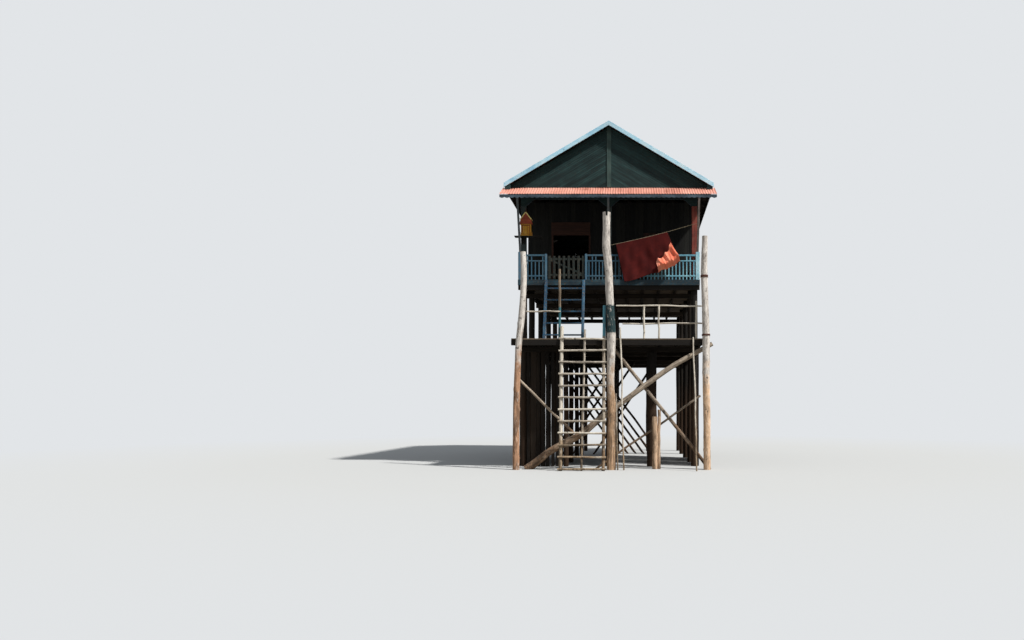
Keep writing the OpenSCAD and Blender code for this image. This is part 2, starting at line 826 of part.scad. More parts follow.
// Panel over the doorway and the jambs beside it
module door_surround() {
    y = room_front - wall_t;
    left = door_x - door_w / 2;
    right = door_x + door_w / 2;
    head = floor_top + door_h;
    color([0.35, 0.22, 0.17]) {
        block([left - 70, y - leaf_t, head], [right + 50, y, head + transom_h]);
        block([left - 62, y - leaf_t, floor_top], [left - panel_gap, y, head - 1]);
        block([right, y - leaf_t, floor_top], [right + 60, y, head - 1]);
    }
}

side_windows = [for (i = [1:3]) (rows[i] + rows[i + 1]) / 2];

// Side wall drawn along X, then turned to run along Y
module side_wall(side) {
    translate([side > 0 ? post_face + wall_t : -post_face, 0, 0]) rotate([0, 0, 90])
        window_wall(room_front, room_back, wall_top, side_windows);
}

module side_walls() {
    color(timber) for (side = [-1, 1]) side_wall(side);
}

module back_wall() {
    end = post_face + wall_t;
    color(timber) translate([0, room_back, 0])
        window_wall(-end, end, gable_base - seat, [-line_gap / 2, line_gap / 2]);
}

// A closed pair of leaves in the window at x, standing on its sill
module closed_pair(x, y) {
    for (hand = [-1, 1]) {
        a = x + (hand > 0 ? 1 : -window_w / 2 + 2);
        block([a, y, window_bottom], [a + window_w / 2 - 3, y + leaf_t, window_top - 2]);
    }
}

// Open leaves on the outer faces of the side walls, and closed pairs at the front and back
module shutters() {
    leaf = window_w / 2 - 12;
    low = window_bottom + 8;
    high = window_top - 8;
    away = window_w / 2 + 10;
    face = post_face + wall_t;
    color([0.30, 0.27, 0.24]) {
        for (side = [-1, 1], y = side_windows, hand = [-1, 1])
            translate([side > 0 ? face : -face - leaf_t,
                y + (hand > 0 ? away : -away - leaf), low])
                cube([leaf_t, leaf, high - low]);
        closed_pair(front_window_x, room_front - wall_t + 4);
        for (x = [-line_gap / 2, line_gap / 2])
            closed_pair(x, room_back + wall_t - leaf_t - 4);
    }
}

// Tie beams between the posts: flush with the outer face where a wall is nailed to them
module tie_beams() {
    color(timber) for (i = [0:4]) {
        front = i <= 1 ? rows[i] - post_w / 2
            : i == 4 ? rows[i] + post_w / 2 - tie_w : rows[i] - tie_w / 2;
        for (side = [-1, 1]) {
            x0 = side > 0 ? post_w / 2 : -line_gap + post_w / 2;
            block([x0, front, post_top - tie_h],
                [x0 + line_gap - post_w, front + tie_w, post_top]);
        }
    }
}

module wall_plates() {
    color(timber) for (side = [-1, 1]) mirror([side < 0 ? 1 : 0, 0, 0])
        block([post_face - plate_w, front_face, post_top],
            [post_face, room_back, plate_top]);
}

// A pair at every row and every half bay
module rafters() {
    places = concat(rows, [for (i = [0:3]) (rows[i] + rows[i + 1]) / 2]);
    color(timber) for (side = [-1, 1], y = places)
        roof_band(side, 0.5, roof_half - eave_board_t - seat, purlin_drop + seat,
            rafter_drop, y - rafter_w / 2, y + rafter_w / 2);
}

module purlins() {
    color(timber) {
        for (side = [-1, 1], part = [0.06, 0.34, 0.63, 0.93])
            roof_band(side, part * roof_half - 28, part * roof_half + 28, sheet_drop + seat,
                purlin_drop, roof_front, roof_back);
        for (side = [-1, 1])
            roof_band(side, roof_half - eave_board_t, roof_half, sheet_drop + seat,
                sheet_drop + eave_board_h, gable_face, roof_back);
        block([-ridge_beam_w / 2, front_face, ridge_beam_top - ridge_beam_h],
            [ridge_beam_w / 2, room_back, ridge_beam_top]);
    }
}

module roof_sheets() {
    color([0.62, 0.56, 0.52]) for (side = [-1, 1])
        roof_band(side, 0.5, roof_half, 0, sheet_drop, roof_front, roof_back);
}

module ridge_cap() {
    low = roof_z(cap_half);
    color([0.55, 0.5, 0.47])
        upright_plate([[-cap_half, low + seat], [0, ridge_top + seat], [cap_half, low + seat],
            [cap_half, low + 14], [0, ridge_top + 18], [-cap_half, low + 14]],
            roof_front, roof_back);
}

// One pair at each end of the roof
module bargeboards() {
    color([0.62, 0.72, 0.78]) for (side = [-1, 1]) {
        roof_band(side, 0.5, roof_half + 20, -20, barge_h - 20, roof_front - barge_t,
            roof_front);
        roof_band(side, 0.5, roof_half + 20, -20, barge_h - 20, roof_back,
            roof_back + barge_t);
    }
}

module gable(y) {
    drop = purlin_drop + 1;
    out = (ridge_top - drop - pent_top) / tan(roof_pitch);
    upright_plate([[-post_face, gable_base], [post_face, gable_base], [out, pent_top],
        [0, ridge_top - drop], [-out, pent_top]], y, y + gable_t);
}

module gables() {
    color(gable_green) {
        gable(gable_face);
        gable(room_back);
    }
}

module gable_strip() {
    color([0.6, 0.66, 0.66])
        block([-gable_strip_w / 2, gable_face - 20, pent_top + 4],
            [gable_strip_w / 2, gable_face, roof_z(gable_strip_w / 2) - sheet_drop - 8]);
}

// The deep board under the tie beam, cut away between the posts
module veranda_fascia() {
    low = gable_base - fascia_h;
    high = low + fascia_cut;
    near = 100;
    far = 330;
    half = [[near, low], [far, high], [line_gap - far, high], [line_gap - near, low],
        [post_face, low]];
    top = gable_base - seat;
    outline = concat([[-post_face, top]],
        [for (i = [len(half) - 1:-1:0]) [-half[i][0], half[i][1]]], half,
        [[post_face, top]]);
    color([0.3, 0.32, 0.32]) upright_plate(outline, gable_face, front_face);
}

module pent_roof() {
    color([0.86, 0.6, 0.53])
        profile_plate([[gable_face, pent_top], [gable_face - pent_out, pent_z(pent_out)],
            [gable_face - pent_out, pent_z(pent_out) - pent_drop],
            [gable_face, pent_top - pent_drop]], -pent_half, pent_half);
}

// Five short rafters and the batten along the edge
module pent_frame() {
    back = valance_out - batten_w - seat;
    color(timber) {
        for (x = [-1, -0.5, 0, 0.5, 1] * line_gap)
            profile_plate([[gable_face, pent_top - pent_under],
                [gable_face - back, pent_z(back) - pent_under],
                [gable_face - back, pent_z(back) - pent_under - pent_rafter_h],
                [gable_face, pent_top - pent_under - pent_rafter_h]], x - 25, x + 25);
        block([-pent_half, gable_face - valance_out, pent_z(valance_out) - pent_under - batten_h],
            [pent_half, gable_face - valance_out + batten_w, pent_z(valance_out) - pent_under]);
    }
}

// A board whose lower edge is a row of rounded lobes
module pent_valance() {
    n = round(2 * pent_half / scallop_w);
    step = 2 * pent_half / n;
    arc_points = 5;
    top = pent_z(valance_out + valance_t) - pent_drop - seat;
    foot = top - valance_h;
    lobes = [for (i = [0:n - 1]) for (k = [0:arc_points - 1])
        [-pent_half + (i + k / arc_points) * step,
            foot + scallop_d * (1 - sin(180 * k / arc_points))]];
    color([0.5, 0.58, 0.64])
        upright_plate(concat(lobes, [[pent_half, foot + scallop_d], [pent_half, top],
            [-pent_half, top]]), gable_face - valance_out - valance_t,
            gable_face - valance_out);
}

module eave_props() {
    foot_z = floor_top + corner_post_h;
    color(blue) for (x = [-corner_post_x, 0, corner_post_x])
        leaning_bar([x, rail_y, foot_z], [x, prop_top[0], prop_top[1]], prop_w, prop_w);
}

// A small house with an open front on a base with a low rail
module shrine() {
    base = shelf_top + 26;
    color([0.75, 0.55, 0.14]) translate([shrine_x, shrine_y, 0]) {
        block([-200, -96, shelf_top], [200, 96, base]);
        difference() {
            block([-shrine_w / 2, -72, base], [shrine_w / 2, 72, base + shrine_h]);
            block([-shrine_w / 2 + 45, -73, base + 40],
                [shrine_w / 2 - 45, 40, base + shrine_h - 50]);
        }
        for (x = [-186, 186])
            block([x - 9, -93, base], [x + 9, -77, base + 75]);
        for (side = [-1, 1])
            block([side > 0 ? 70 : -195, -91, base + 55], [side > 0 ? 195 : -70, -79, base + 75]);
    }
    shrine_roof();
}

// Its steep gable roof, with a finial at each end
module shrine_roof() {
    eave = shelf_top + 26 + shrine_h;
    rise = 350;
    half = 185;
    tier = 150;
    neck = 148;
    color([0.6, 0.3, 0.14]) translate([shrine_x, shrine_y, 0]) {
        upright_plate([[-half, eave], [half, eave], [half, eave + 22], [neck, eave + tier],
            [0, eave + rise], [-neck, eave + tier], [-half, eave + 22]], -86, 86);
        for (y = [-97, 86])
            upright_plate([[-neck - 16, eave + tier - 12], [-neck + 28, eave + tier - 12],
                [0, eave + rise - 44], [neck - 28, eave + tier - 12],
                [neck + 16, eave + tier - 12], [9, eave + rise + 10], [9, eave + rise + 150],
                [-9, eave + rise + 150], [-9, eave + rise + 10]], y, y + 11);
    }
}

// The shelf and its two brackets on the post
module shrine_shelf() {
    color([0.3, 0.26, 0.2]) {
        block([-line_gap - 250, front_face - 205, shelf_top - 28],
            [-line_gap + 600, front_face, shelf_top]);
        for (x = [-line_gap - 50, -line_gap + 20])
            profile_plate([[front_face, shelf_top - 28], [front_face - 170, shelf_top - 28],
                [front_face - 170, shelf_top - 60], [front_face, shelf_top - 230]], x, x + 30);
    }
}

// The line from the middle prop to the right prop
function line_point(part) = let (z = shade_low + part * (shade_high - shade_low))
    [prop_w / 2 + part * (corner_post_x - prop_w), prop_y(shade_low) + part
        * (prop_y(shade_high) - prop_y(shade_low)), z];

module sunshade_line() {
    ring = [for (k = [0:7]) line_d / 2 * [0, cos(45 * k), sin(45 * k)]];
    color([0.8, 0.8, 0.75])
        polyhedron(points = concat([for (r = ring) line_point(0) + r],
            [for (r = ring) line_point(1) + r]),
            faces = concat([[7, 6, 5, 4, 3, 2, 1, 0]], [[8, 9, 10, 11, 12, 13, 14, 15]],
                [for (k = [0:7]) [k, (k + 1) % 8, (k + 1) % 8 + 8, k + 8]]));
}

// A hanging sheet of cloth, pulled out at its lower right corner
module sunshade() {
    a = line_point(0);
    b = line_point(1);
    turn = atan2(b[1] - a[1], b[0] - a[0]);
    flat = norm([b[0] - a[0], b[1] - a[1]]);
    fall = (b[2] - a[2]) / flat;
    function top_at(s) = a[2] + fall * s - line_d / 2 * sqrt(1 + fall * fall) - seat;
    color([0.55, 0.2, 0.2]) translate([a[0], a[1], 0]) rotate([0, 0, turn])
        upright_plate([[186, top_at(186)], [470, floor_top + 12], [1410, 5900], [2160, 6290],
            [2070, 6500], [1715, top_at(1715)]], -26, 14);
}

stilts();
inner_stilts();
left_log();
centre_log();
right_log();
long_brace();
cross_braces();
thin_poles();
rear_braces();
plank_screens();
platform_beams();
platform_joists();
platform_deck();
platform_rails();
ladder_stiles();
ladder_rungs();
upper_ladder_stiles();
upper_ladder_treads();
floor_beams();
floor_joists();
floor_deck();
edge_beam();
front_balustrade();
side_balustrades();
rail_posts();
gate();
hinge_pins();
veranda_posts();
room_posts();
front_wall();
door_surround();
side_walls();
back_wall();
shutters();
tie_beams();
wall_plates();
rafters();
purlins();
roof_sheets();
ridge_cap();
bargeboards();
gables();
gable_strip();
veranda_fascia();
pent_roof();
pent_frame();
pent_valance();
eave_props();
shrine();
shrine_shelf();
sunshade();
sunshade_line();
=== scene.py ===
"""Looks of the stilt house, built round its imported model."""

from math import cos, exp, pi, radians, sin, sqrt, tan

import bmesh
import bpy
import numpy as np
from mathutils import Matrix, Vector


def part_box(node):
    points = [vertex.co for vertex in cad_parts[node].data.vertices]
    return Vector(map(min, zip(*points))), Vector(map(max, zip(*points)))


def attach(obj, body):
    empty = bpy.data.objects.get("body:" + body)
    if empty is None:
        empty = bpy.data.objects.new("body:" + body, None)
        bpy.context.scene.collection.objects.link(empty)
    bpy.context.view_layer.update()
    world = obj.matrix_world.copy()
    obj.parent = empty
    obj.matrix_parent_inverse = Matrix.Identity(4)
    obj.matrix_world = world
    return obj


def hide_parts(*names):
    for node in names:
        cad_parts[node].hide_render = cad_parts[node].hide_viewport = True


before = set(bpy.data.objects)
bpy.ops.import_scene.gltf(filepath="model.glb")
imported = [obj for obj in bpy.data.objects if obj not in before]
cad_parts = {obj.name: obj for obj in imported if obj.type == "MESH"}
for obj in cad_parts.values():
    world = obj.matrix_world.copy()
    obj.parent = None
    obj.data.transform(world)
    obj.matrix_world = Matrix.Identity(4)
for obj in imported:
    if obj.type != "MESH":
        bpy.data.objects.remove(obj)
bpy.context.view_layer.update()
rng = np.random.default_rng(11)

# ---- sizes in metres, as in the part's source
PITCH = radians(30.6)
SIN, COS, TAN = sin(PITCH), cos(PITCH), tan(PITCH)
PENT_PITCH = radians(28)
RIDGE = 10.4
ROOF_HALF = 3.14
ROOF_FRONT, ROOF_BACK = -4.52, 5.12
LINE = 2.6  # from the middle line of posts to an outer one
ROWS = (-4.2, -2.4, 0.0, 2.4, 4.8)  # of posts, from the front
FLOOR = 5.65
PLAT_FRONT = -5.58
FORK_W, FORK_BOTTOM = 0.06, 7.25

# ---- sizes of the scene's own detail
PHOTO_W = 1024  # pixels
SHARP = radians(50)  # a crease in a smooth piece
STRIP_W = 0.056  # gable boards
BOARD_W, BOARD_GAP = 0.145, 0.006  # floor boards
ROOF_WAVES, PENT_WAVES = 131, 84
SHEET_WAVES = 11  # in one corrugated sheet: the next sheet laps the last one
WAVE_DEPTH, PER_WAVE, DOWN_STEPS, SHEET_T = 0.018, 8, 3, 0.0012
CAP_HALF, CAP_LENGTH, CAP_LAP, CAP_POINTS, CAP_T = 0.23, 2.08, 0.06, 17, 0.0015
ALONG_X, ALONG_Y = np.array((1.0, 0.0, 0.0)), np.array((0.0, 1.0, 0.0))


def roof_z(x):
    return RIDGE - abs(x) * TAN


def set_camera():
    """28 m in front of the middle row, fitted to the photograph."""
    data = bpy.data.cameras.new("camera")
    data.lens = 27.42
    data.shift_x, data.shift_y = -125.3 / PHOTO_W, 90 / PHOTO_W
    data.clip_end = 400
    cam = put_in_scene("camera", data)
    cam.location = (0.86, -28.0, 1.71)
    cam.rotation_euler = (radians(90), 0, 0)
    bpy.context.scene.camera = cam


def tint(colour, share=1.0):
    """A colour of 0 to 255 as on the screen, as the shader wants it: share makes it darker."""
    lin = [(c / 255 / 12.92) if c <= 10.3 else ((c / 255 + 0.055) / 1.055) ** 2.4 for c in colour]
    return (*(c * share for c in lin), 1.0)


# ---- materials
MATS = {}


class Shade:
    """A node tree, written as calls. Colours of three numbers are as on the screen."""

    def __init__(self, key, name=None, owner=None):
        self.key, self.mat = key, owner or bpy.data.materials.new(name or key)
        self.mat.use_nodes = True
        self.tree = self.mat.node_tree
        self.tree.nodes.clear()

    def put(self, kind, sockets=(), **settings):
        node = self.tree.nodes.new("ShaderNode" + kind)
        for key, value in settings.items():
            setattr(node, key, value)
        for key, value in dict(sockets).items():
            socket = node.inputs[key]
            if isinstance(value, bpy.types.NodeSocket):
                self.tree.links.new(value, socket)
            else:
                socket.default_value = value
        return node

    def position(self):
        return self.put("NewGeometry").outputs["Position"]

    def part(self, output, axis):
        """One number of the point's position or of its normal."""
        return self.put("SeparateXYZ", {0: self.put("NewGeometry").outputs[output]}).outputs[axis]

    def height(self):
        return self.part("Position", 2)

    def attribute(self, name, output):
        return self.put("Attribute", attribute_name=name).outputs[output]

    def stretch(self, vector, scale):
        return self.put("VectorMath", {0: vector, 1: scale}, operation="MULTIPLY").outputs[0]

    def noise(self, vector, scale=1.0, detail=5.0, rough=0.6, warp=0.0):
        return self.put("TexNoise", {"Vector": vector, "Scale": scale, "Detail": detail,
                                     "Roughness": rough, "Distortion": warp}).outputs[0]

    def fibres(self, scale, *rest):
        """Noise drawn out along the grain of each piece."""
        return self.noise(self.stretch(self.attribute("grain", "Vector"), scale), 1.0, *rest)

    def sum(self, a, b, op="ADD"):
        return self.put("Math", {0: a, 1: b}, operation=op).outputs[0]

    def times(self, a, b):
        return self.sum(a, b, "MULTIPLY")

    def blend(self, a, share_a, b, share_b):
        return self.sum(self.times(a, share_a), self.times(b, share_b))

    def span(self, value, low, high, to_low=0.0, to_high=1.0):
        return self.put("MapRange", {0: value, 1: low, 2: high, 3: to_low, 4: to_high}).outputs[0]

    def toned(self, value, reach):
        """The value, moved up or down for each piece by its own tone."""
        return self.sum(value, self.span(self.attribute("tone", "Fac"), 0, 1, -reach, reach))

    @staticmethod
    def colour(value):
        """A socket or a tint stays as it is."""
        return tint(value) if isinstance(value, tuple) and len(value) == 3 else value

    def ramp(self, value, stops):
        node = self.put("ValToRGB", {0: value})
        elements = node.color_ramp.elements
        while len(elements) < len(stops):
            elements.new(0.5)
        for element, (place, colour) in zip(elements, stops):
            element.position, element.color = place, self.colour(colour)
        return node.outputs[0]

    def mix(self, factor, a, b):
        return self.put("Mix", {0: factor, 6: self.colour(a), 7: self.colour(b)}, data_type="RGBA").outputs[2]

    def bump(self, height, strength, distance):
        return self.put("Bump", {"Height": height, "Strength": strength, "Distance": distance}).outputs[0]

    def done(self, colour, rough, normal, metallic=0.0, **more):
        sockets = {"Base Color": colour, "Roughness": rough, "Normal": normal, "Metallic": metallic}
        sockets.update({k.replace("_", " "): v for k, v in more.items()})
        self.put("OutputMaterial", {0: self.put("BsdfPrincipled", sockets).outputs[0]})
        MATS[self.key] = self.mat


def wood(name, dark, mid, light, low=None, shade_below=False):
    """Bare timber: grain along each piece, stains, wet brown near the ground, and painted shade on the faces
    that look down.
    """
    s = Shade(name)
    fibre = s.fibres((1.6, 34, 34), 6, 0.62)
    figure = s.fibres((0.9, 9, 9), 3, 0.5, 0.8)
    value = s.toned(s.blend(fibre, 0.6, figure, 0.4), 0.16)
    colour = s.ramp(value, [(0.3, dark), (0.5, mid), (0.72, light)])
    cracks = s.fibres((2.2, 120, 120), 3, 0.5)
    colour = s.mix(s.span(cracks, 0.36, 0.30, 0, 0.75), colour, tint(dark, 0.35))
    blots = s.noise(s.position(), 0.9, 5, 0.65)
    colour = s.mix(s.span(blots, 0.42, 0.7, 0, 0.35), colour, dark)
    if shade_below:
        # painted shade: faces that look downwards are made dark
        colour = s.mix(s.span(s.part("Normal", 2), 0.0, -0.4, 0, 0.85), colour, (38, 33, 28))
    if low:
        edge = s.sum(s.height(), s.times(blots, 1.6))
        colour = s.mix(s.span(edge, 3.6, 2.6, 0, 0.85), colour, low)
    bump = s.bump(s.sum(fibre, s.times(cracks, 0.6)), 0.5, 0.006)
    s.done(colour, s.span(fibre, 0.3, 0.7, 0.77, 0.93), bump, Specular_IOR_Level=0.25)


def pole_bark(name, dark, mid, light, wet, wet_top=2.5, band=None, muddy=0.75):
    """Peeled and weathered trunks: pale above, brown where the water comes each year."""
    s = Shade(name)
    fibre = s.fibres((2.4, 26, 26), 7, 0.66, 0.4)
    flakes = s.fibres((5, 11, 11), 6, 0.7, 1.2)
    value = s.toned(s.blend(fibre, 0.55, flakes, 0.45), 0.08)
    colour = s.ramp(value, [(0.35, dark), (0.46, mid), (0.58, light)])
    blots = s.noise(s.position(), 2.3, 5, 0.6)
    edge = s.sum(s.height(), s.span(blots, 0.3, 0.7, -0.7, 0.7))
    brown = s.mix(s.span(value, 0.38, 0.54), tint(wet, 0.36), wet)
    mud = s.noise(s.stretch(s.position(), (10, 10, 1.7)), 1.0, 6, 0.66, 0.8)
    lower = s.span(s.height(), wet_top + 0.2, wet_top - 0.7, 0, muddy)
    brown = s.mix(s.times(s.span(mud, 0.47, 0.56), lower), brown, tint(wet, 0.22))
    bare = s.span(flakes, 0.56, 0.66, 1, 0.55)
    colour = s.mix(s.times(s.span(edge, wet_top + 0.5, wet_top - 0.3), bare), colour, brown)
    if band:
        low, high, painted = band
        z = s.sum(s.height(), s.span(flakes, 0.3, 0.7, -0.03, 0.03))
        inside = s.times(s.span(z, low - 0.02, low + 0.02), s.span(z, high + 0.02, high - 0.02))
        colour = s.mix(s.times(inside, s.span(flakes, 0.35, 0.42)), colour, painted)
    knots = s.fibres((7, 7, 7), 2, 0.5)
    colour = s.mix(s.span(knots, 0.66, 0.72, 0, 0.8), colour, tint(dark, 0.4))
    s.done(colour, 0.88, s.bump(s.sum(value, s.times(knots, 0.4)), 0.75, 0.012))


def paint(name, base, deep, pale, under, rough=0.62, worn=0.3, streak=0.4, shade=None):
    """Faded paint on timber, with brush marks, chips and dirt: shade, where given, is painted shade, the
    darker colour the paint takes towards the left.
    """
    s = Shade(name, name + "_paint")
    brush = s.fibres((1.2, 40, 40), 4, 0.6)
    cloud = s.noise(s.position(), 2.6, 5, 0.6)
    value = s.toned(s.blend(brush, streak, cloud, 1 - streak), 0.06)
    colour = s.ramp(value, [(0.34, deep), (0.5, base), (0.68, pale)])
    if shade:
        # painted shade: towards the left the paint turns to the shade colour, standing in for the shadow
        # there
        colour = s.mix(s.span(s.part("Position", 0), 1.5, 0.3, 0, 0.85), colour, shade)
    chips = s.fibres((16, 60, 60), 5, 0.7)
    wood_tone = s.ramp(brush, [(0.35, tint(under, 0.5)), (0.65, under)])
    bare = s.span(chips, 0.64 - 0.12 * worn, 0.67 - 0.12 * worn)
    colour = s.mix(bare, colour, wood_tone)
    dirt = s.noise(s.position(), 0.8, 6, 0.7)
    colour = s.mix(s.span(dirt, 0.5, 0.75, 0, 0.4), colour, tint(deep, 0.45))
    bump = s.bump(s.blend(brush, 0.5, bare, -0.6), 0.35, 0.003)
    s.done(colour, s.span(bare, 0, 1, rough, 0.9), bump, Specular_IOR_Level=0.28)


def sheet_metal(name, base, pale, deep, rust, rust_at, rough=0.5, metallic=0.25):
    """Corrugated sheet: faded coating, rust that runs down from the laps, and painted shade on its underside.
    """
    s = Shade(name)
    cloud = s.noise(s.position(), 1.3, 6, 0.65)
    runs = s.fibres((0.8, 14, 14), 6, 0.7, 0.3)
    value = s.toned(s.blend(cloud, 0.5, runs, 0.5), 0.07)
    colour = s.ramp(value, [(0.32, deep), (0.5, base), (0.68, pale)])
    specks = s.noise(s.position(), 22, 4, 0.7)
    amount = s.span(s.sum(value, s.times(specks, 0.35)), rust_at + 0.08, rust_at - 0.08)
    colour = s.mix(amount, colour, s.ramp(specks, [(0.35, tint(rust, 0.35)), (0.62, rust)]))
    # painted shade: faces that look downwards are made dark
    colour = s.mix(s.span(s.part("Normal", 2), 0.0, -0.3, 0, 0.85), colour, (34, 28, 24))
    s.done(colour, s.span(amount, 0, 1, rough, 0.92), s.bump(specks, 0.2, 0.002),
           s.span(amount, 0, 1, metallic, 0.0))


def cloth():
    """Red cloth, dark red as in shade and bright orange where its folded corner is in the sun: painted shade
    and painted sunlight.
    """
    s = Shade("cloth", "red_cloth")
    grain = s.attribute("grain", "Vector")
    weave = s.put("TexWave", {"Vector": s.stretch(grain, (420, 420, 420)), "Scale": 1.0},
                  wave_type="BANDS", bands_direction="DIAGONAL").outputs[1]
    cloud = s.noise(grain, 3.2, 5, 0.6)
    shaded_red = s.ramp(cloud, [(0.3, (64, 15, 15)), (0.5, (75, 18, 17)), (0.7, (88, 24, 21))])
    sunlit_red = s.ramp(cloud, [(0.3, (248, 118, 88)), (0.5, (255, 146, 116)), (0.72, (255, 184, 160))])
    # the tone attribute is painted sunlight here: 0 gives the shaded red, 1 the sunlit red
    s.done(s.mix(s.attribute("tone", "Fac"), shaded_red, sunlit_red), 0.85, s.bump(weave, 0.12, 0.001),
           Sheen_Weight=0.08, Specular_IOR_Level=0.12)


def plain(name, base, deep, rough, metallic=0.0, scale=14.0):
    """A cloudy finish for small things."""
    s = Shade(name)
    cloud = s.noise(s.position(), scale, 5, 0.65)
    s.done(s.ramp(cloud, [(0.35, deep), (0.65, base)]), rough, s.bump(cloud, 0.25, 0.002), metallic)


wood("dark_timber", (15, 12, 10), (30, 26, 22), (58, 50, 43), low=(62, 46, 34))
# floor_boards get painted shade on their undersides
wood("floor_boards", (92, 80, 68), (146, 130, 112), (190, 176, 156), shade_below=True)
wood("wall_boards", (12, 12, 12), (22, 22, 21), (40, 40, 37))
wood("screen_boards", (18, 15, 13), (34, 28, 23), (58, 48, 40))
wood("brown_panel", (33, 22, 19), (55, 36, 31), (78, 53, 45))
pole_bark("left_pole", (112, 104, 100), (202, 195, 188), (238, 233, 227), (204, 158, 126), 3.3)
pole_bark("centre_pole", (104, 98, 94), (192, 185, 179), (234, 228, 221), (206, 170, 136), 2.3,
          band=(3.91, 4.71, (26, 54, 58)))
pole_bark("right_pole", (82, 75, 70), (186, 178, 171), (240, 234, 227), (246, 208, 172), 2.5, muddy=0.35)
pole_bark("hand_pole", (84, 72, 60), (136, 120, 102), (184, 168, 148), (170, 128, 92), 2.4,
          band=(3.7, 4.67, (58, 112, 124)))
pole_bark("blue_stile", (92, 82, 72), (166, 154, 138), (214, 204, 188), (158, 128, 98), 1.2,
          band=(3.82, 4.8, (96, 158, 178)))
pole_bark("stump_pole", (84, 70, 58), (160, 136, 112), (206, 180, 152), (212, 180, 150), 3.0)
pole_bark("thin_pole", (104, 96, 88), (182, 173, 160), (226, 219, 206), (172, 150, 124), 0.9)
pole_bark("brace_pole", (78, 70, 62), (140, 126, 112), (192, 178, 160), (150, 122, 98), 1.0)
# the shade colours of blue and post_blue are painted shade towards the left
paint("blue", (136, 196, 214), (88, 150, 178), (190, 226, 238), (124, 112, 96), worn=0.5, shade=(22, 54, 82))
paint("edge_blue", (28, 54, 66), (16, 34, 44), (62, 100, 114), (84, 78, 70), worn=0.75)
paint("post_blue", (174, 220, 234), (124, 184, 208), (212, 236, 244), (150, 132, 110), worn=0.4,
      shade=(26, 64, 96))
paint("post_dark", (44, 54, 54), (28, 36, 38), (66, 80, 80), (80, 70, 60), worn=0.5)
paint("deep_blue", (32, 72, 100), (20, 48, 70), (72, 118, 144), (140, 120, 98), worn=0.6)
paint("pale_blue", (182, 232, 255), (136, 196, 232), (220, 245, 255), (130, 120, 108), worn=0.35)
paint("gable", (29, 50, 51), (18, 32, 33), (46, 75, 75), (58, 54, 48), rough=0.8, worn=0.4, streak=0.7)
paint("strip", (54, 74, 72), (36, 52, 52), (76, 98, 94), (80, 76, 68), rough=0.75)
paint("valance", (50, 63, 75), (30, 40, 50), (90, 108, 122), (90, 84, 78), worn=0.4)
# the shade colour of prop is painted shade towards the left
paint("prop", (150, 140, 136), (96, 92, 92), (196, 188, 182), (110, 98, 86), worn=0.5, shade=(62, 76, 84))
paint("red_brown", (134, 64, 54), (90, 40, 36), (166, 92, 78), (120, 100, 84), worn=0.55)
paint("gate", (32, 42, 41), (20, 27, 27), (56, 68, 66), (86, 78, 68), worn=0.9, rough=0.82)
paint("gold", (206, 150, 40), (160, 104, 22), (232, 188, 84), (130, 70, 40), rough=0.4, worn=0.15)
paint("chevron", (236, 214, 130), (206, 176, 84), (246, 232, 170), (150, 90, 50), rough=0.45, worn=0.1)
paint("temple_red", (140, 56, 34), (96, 34, 22), (172, 84, 52), (110, 70, 40), rough=0.5, worn=0.2)
sheet_metal("rusty_sheet", (134, 126, 118), (168, 162, 154), (104, 90, 80), (124, 78, 56), 0.65)
sheet_metal("salmon_sheet", (222, 154, 136), (236, 178, 160), (198, 124, 106),
            (150, 84, 58), 0.52, rough=0.6, metallic=0.0)
cloth()
plain("steel", (120, 112, 106), (86, 58, 44), 0.6, 0.6, 60)
plain("rope", (196, 186, 160), (130, 116, 92), 0.9, 0.0, 90)
plain("old_rope", (122, 84, 72), (64, 40, 34), 0.9, 0.0, 90)
plain("niche", (70, 30, 18), (44, 18, 12), 0.8)


# ---- mesh helpers
def put_in_scene(name, data):
    thing = bpy.data.objects.new(name, data)
    bpy.context.scene.collection.objects.link(thing)
    return thing


def join_frame(thing, node, body="house", extra=False):
    """Says what a piece moves with: it replaces its CAD node, unless it is extra to it."""
    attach(thing, body)
    if not extra:
        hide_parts(node)


def finish_piece(name, mesh, material, grain, tone, node, **more):
    """The object of a mesh: its materials read grain, the place along the fibres, and tone."""
    for key, kind, field, data in (("grain", "FLOAT_VECTOR", "vector", grain),
                                   ("tone", "FLOAT", "value", tone)):
        attribute = mesh.attributes.new(key, kind, "POINT")
        attribute.data.foreach_set(field, data.astype(np.float32).ravel())
    mesh.materials.append(MATS[material])
    mesh.validate()
    thing = put_in_scene(name, mesh)
    join_frame(thing, node, **more)
    return thing


class Stock:
    """Gathers the solids of one piece."""

    def __init__(self):
        self.points, self.faces, self.grain, self.tone, self.count = [], [], [], [], 0

    def add(self, points, faces, grain, tone):
        points = np.asarray(points, float)
        self.points.append(points)
        self.grain.append(np.asarray(grain, float) + rng.uniform(0, 40, 3))
        self.tone.append(np.broadcast_to(np.asarray(tone, float), len(points)))
        self.faces += [tuple(i + self.count for i in f) for f in faces]
        self.count += len(points)

    def piece(self, name, material, node, smooth=False, **more):
        mesh = bpy.data.meshes.new(name)
        mesh.from_pydata(np.concatenate(self.points).tolist(), [], self.faces)
        if smooth:
            mesh.polygons.foreach_set("use_smooth", [True] * len(mesh.polygons))
            mesh.set_sharp_from_angle(angle=SHARP)
        return finish_piece(name, mesh, material, np.concatenate(self.grain), np.concatenate(self.tone),
                            node, **more)


def unit(v):
    return v / np.linalg.norm(v)


def ring_faces(rings, sides):
    """The faces of a closed tube, ends included."""
    faces = []
    for i in range(rings - 1):
        for k in range(sides):
            a, b = i * sides + k, i * sides + (k + 1) % sides
            faces.append((a, b, b + sides, a + sides))
    return faces + [tuple(range(sides - 1, -1, -1)), tuple(range((rings - 1) * sides, rings * sides))]


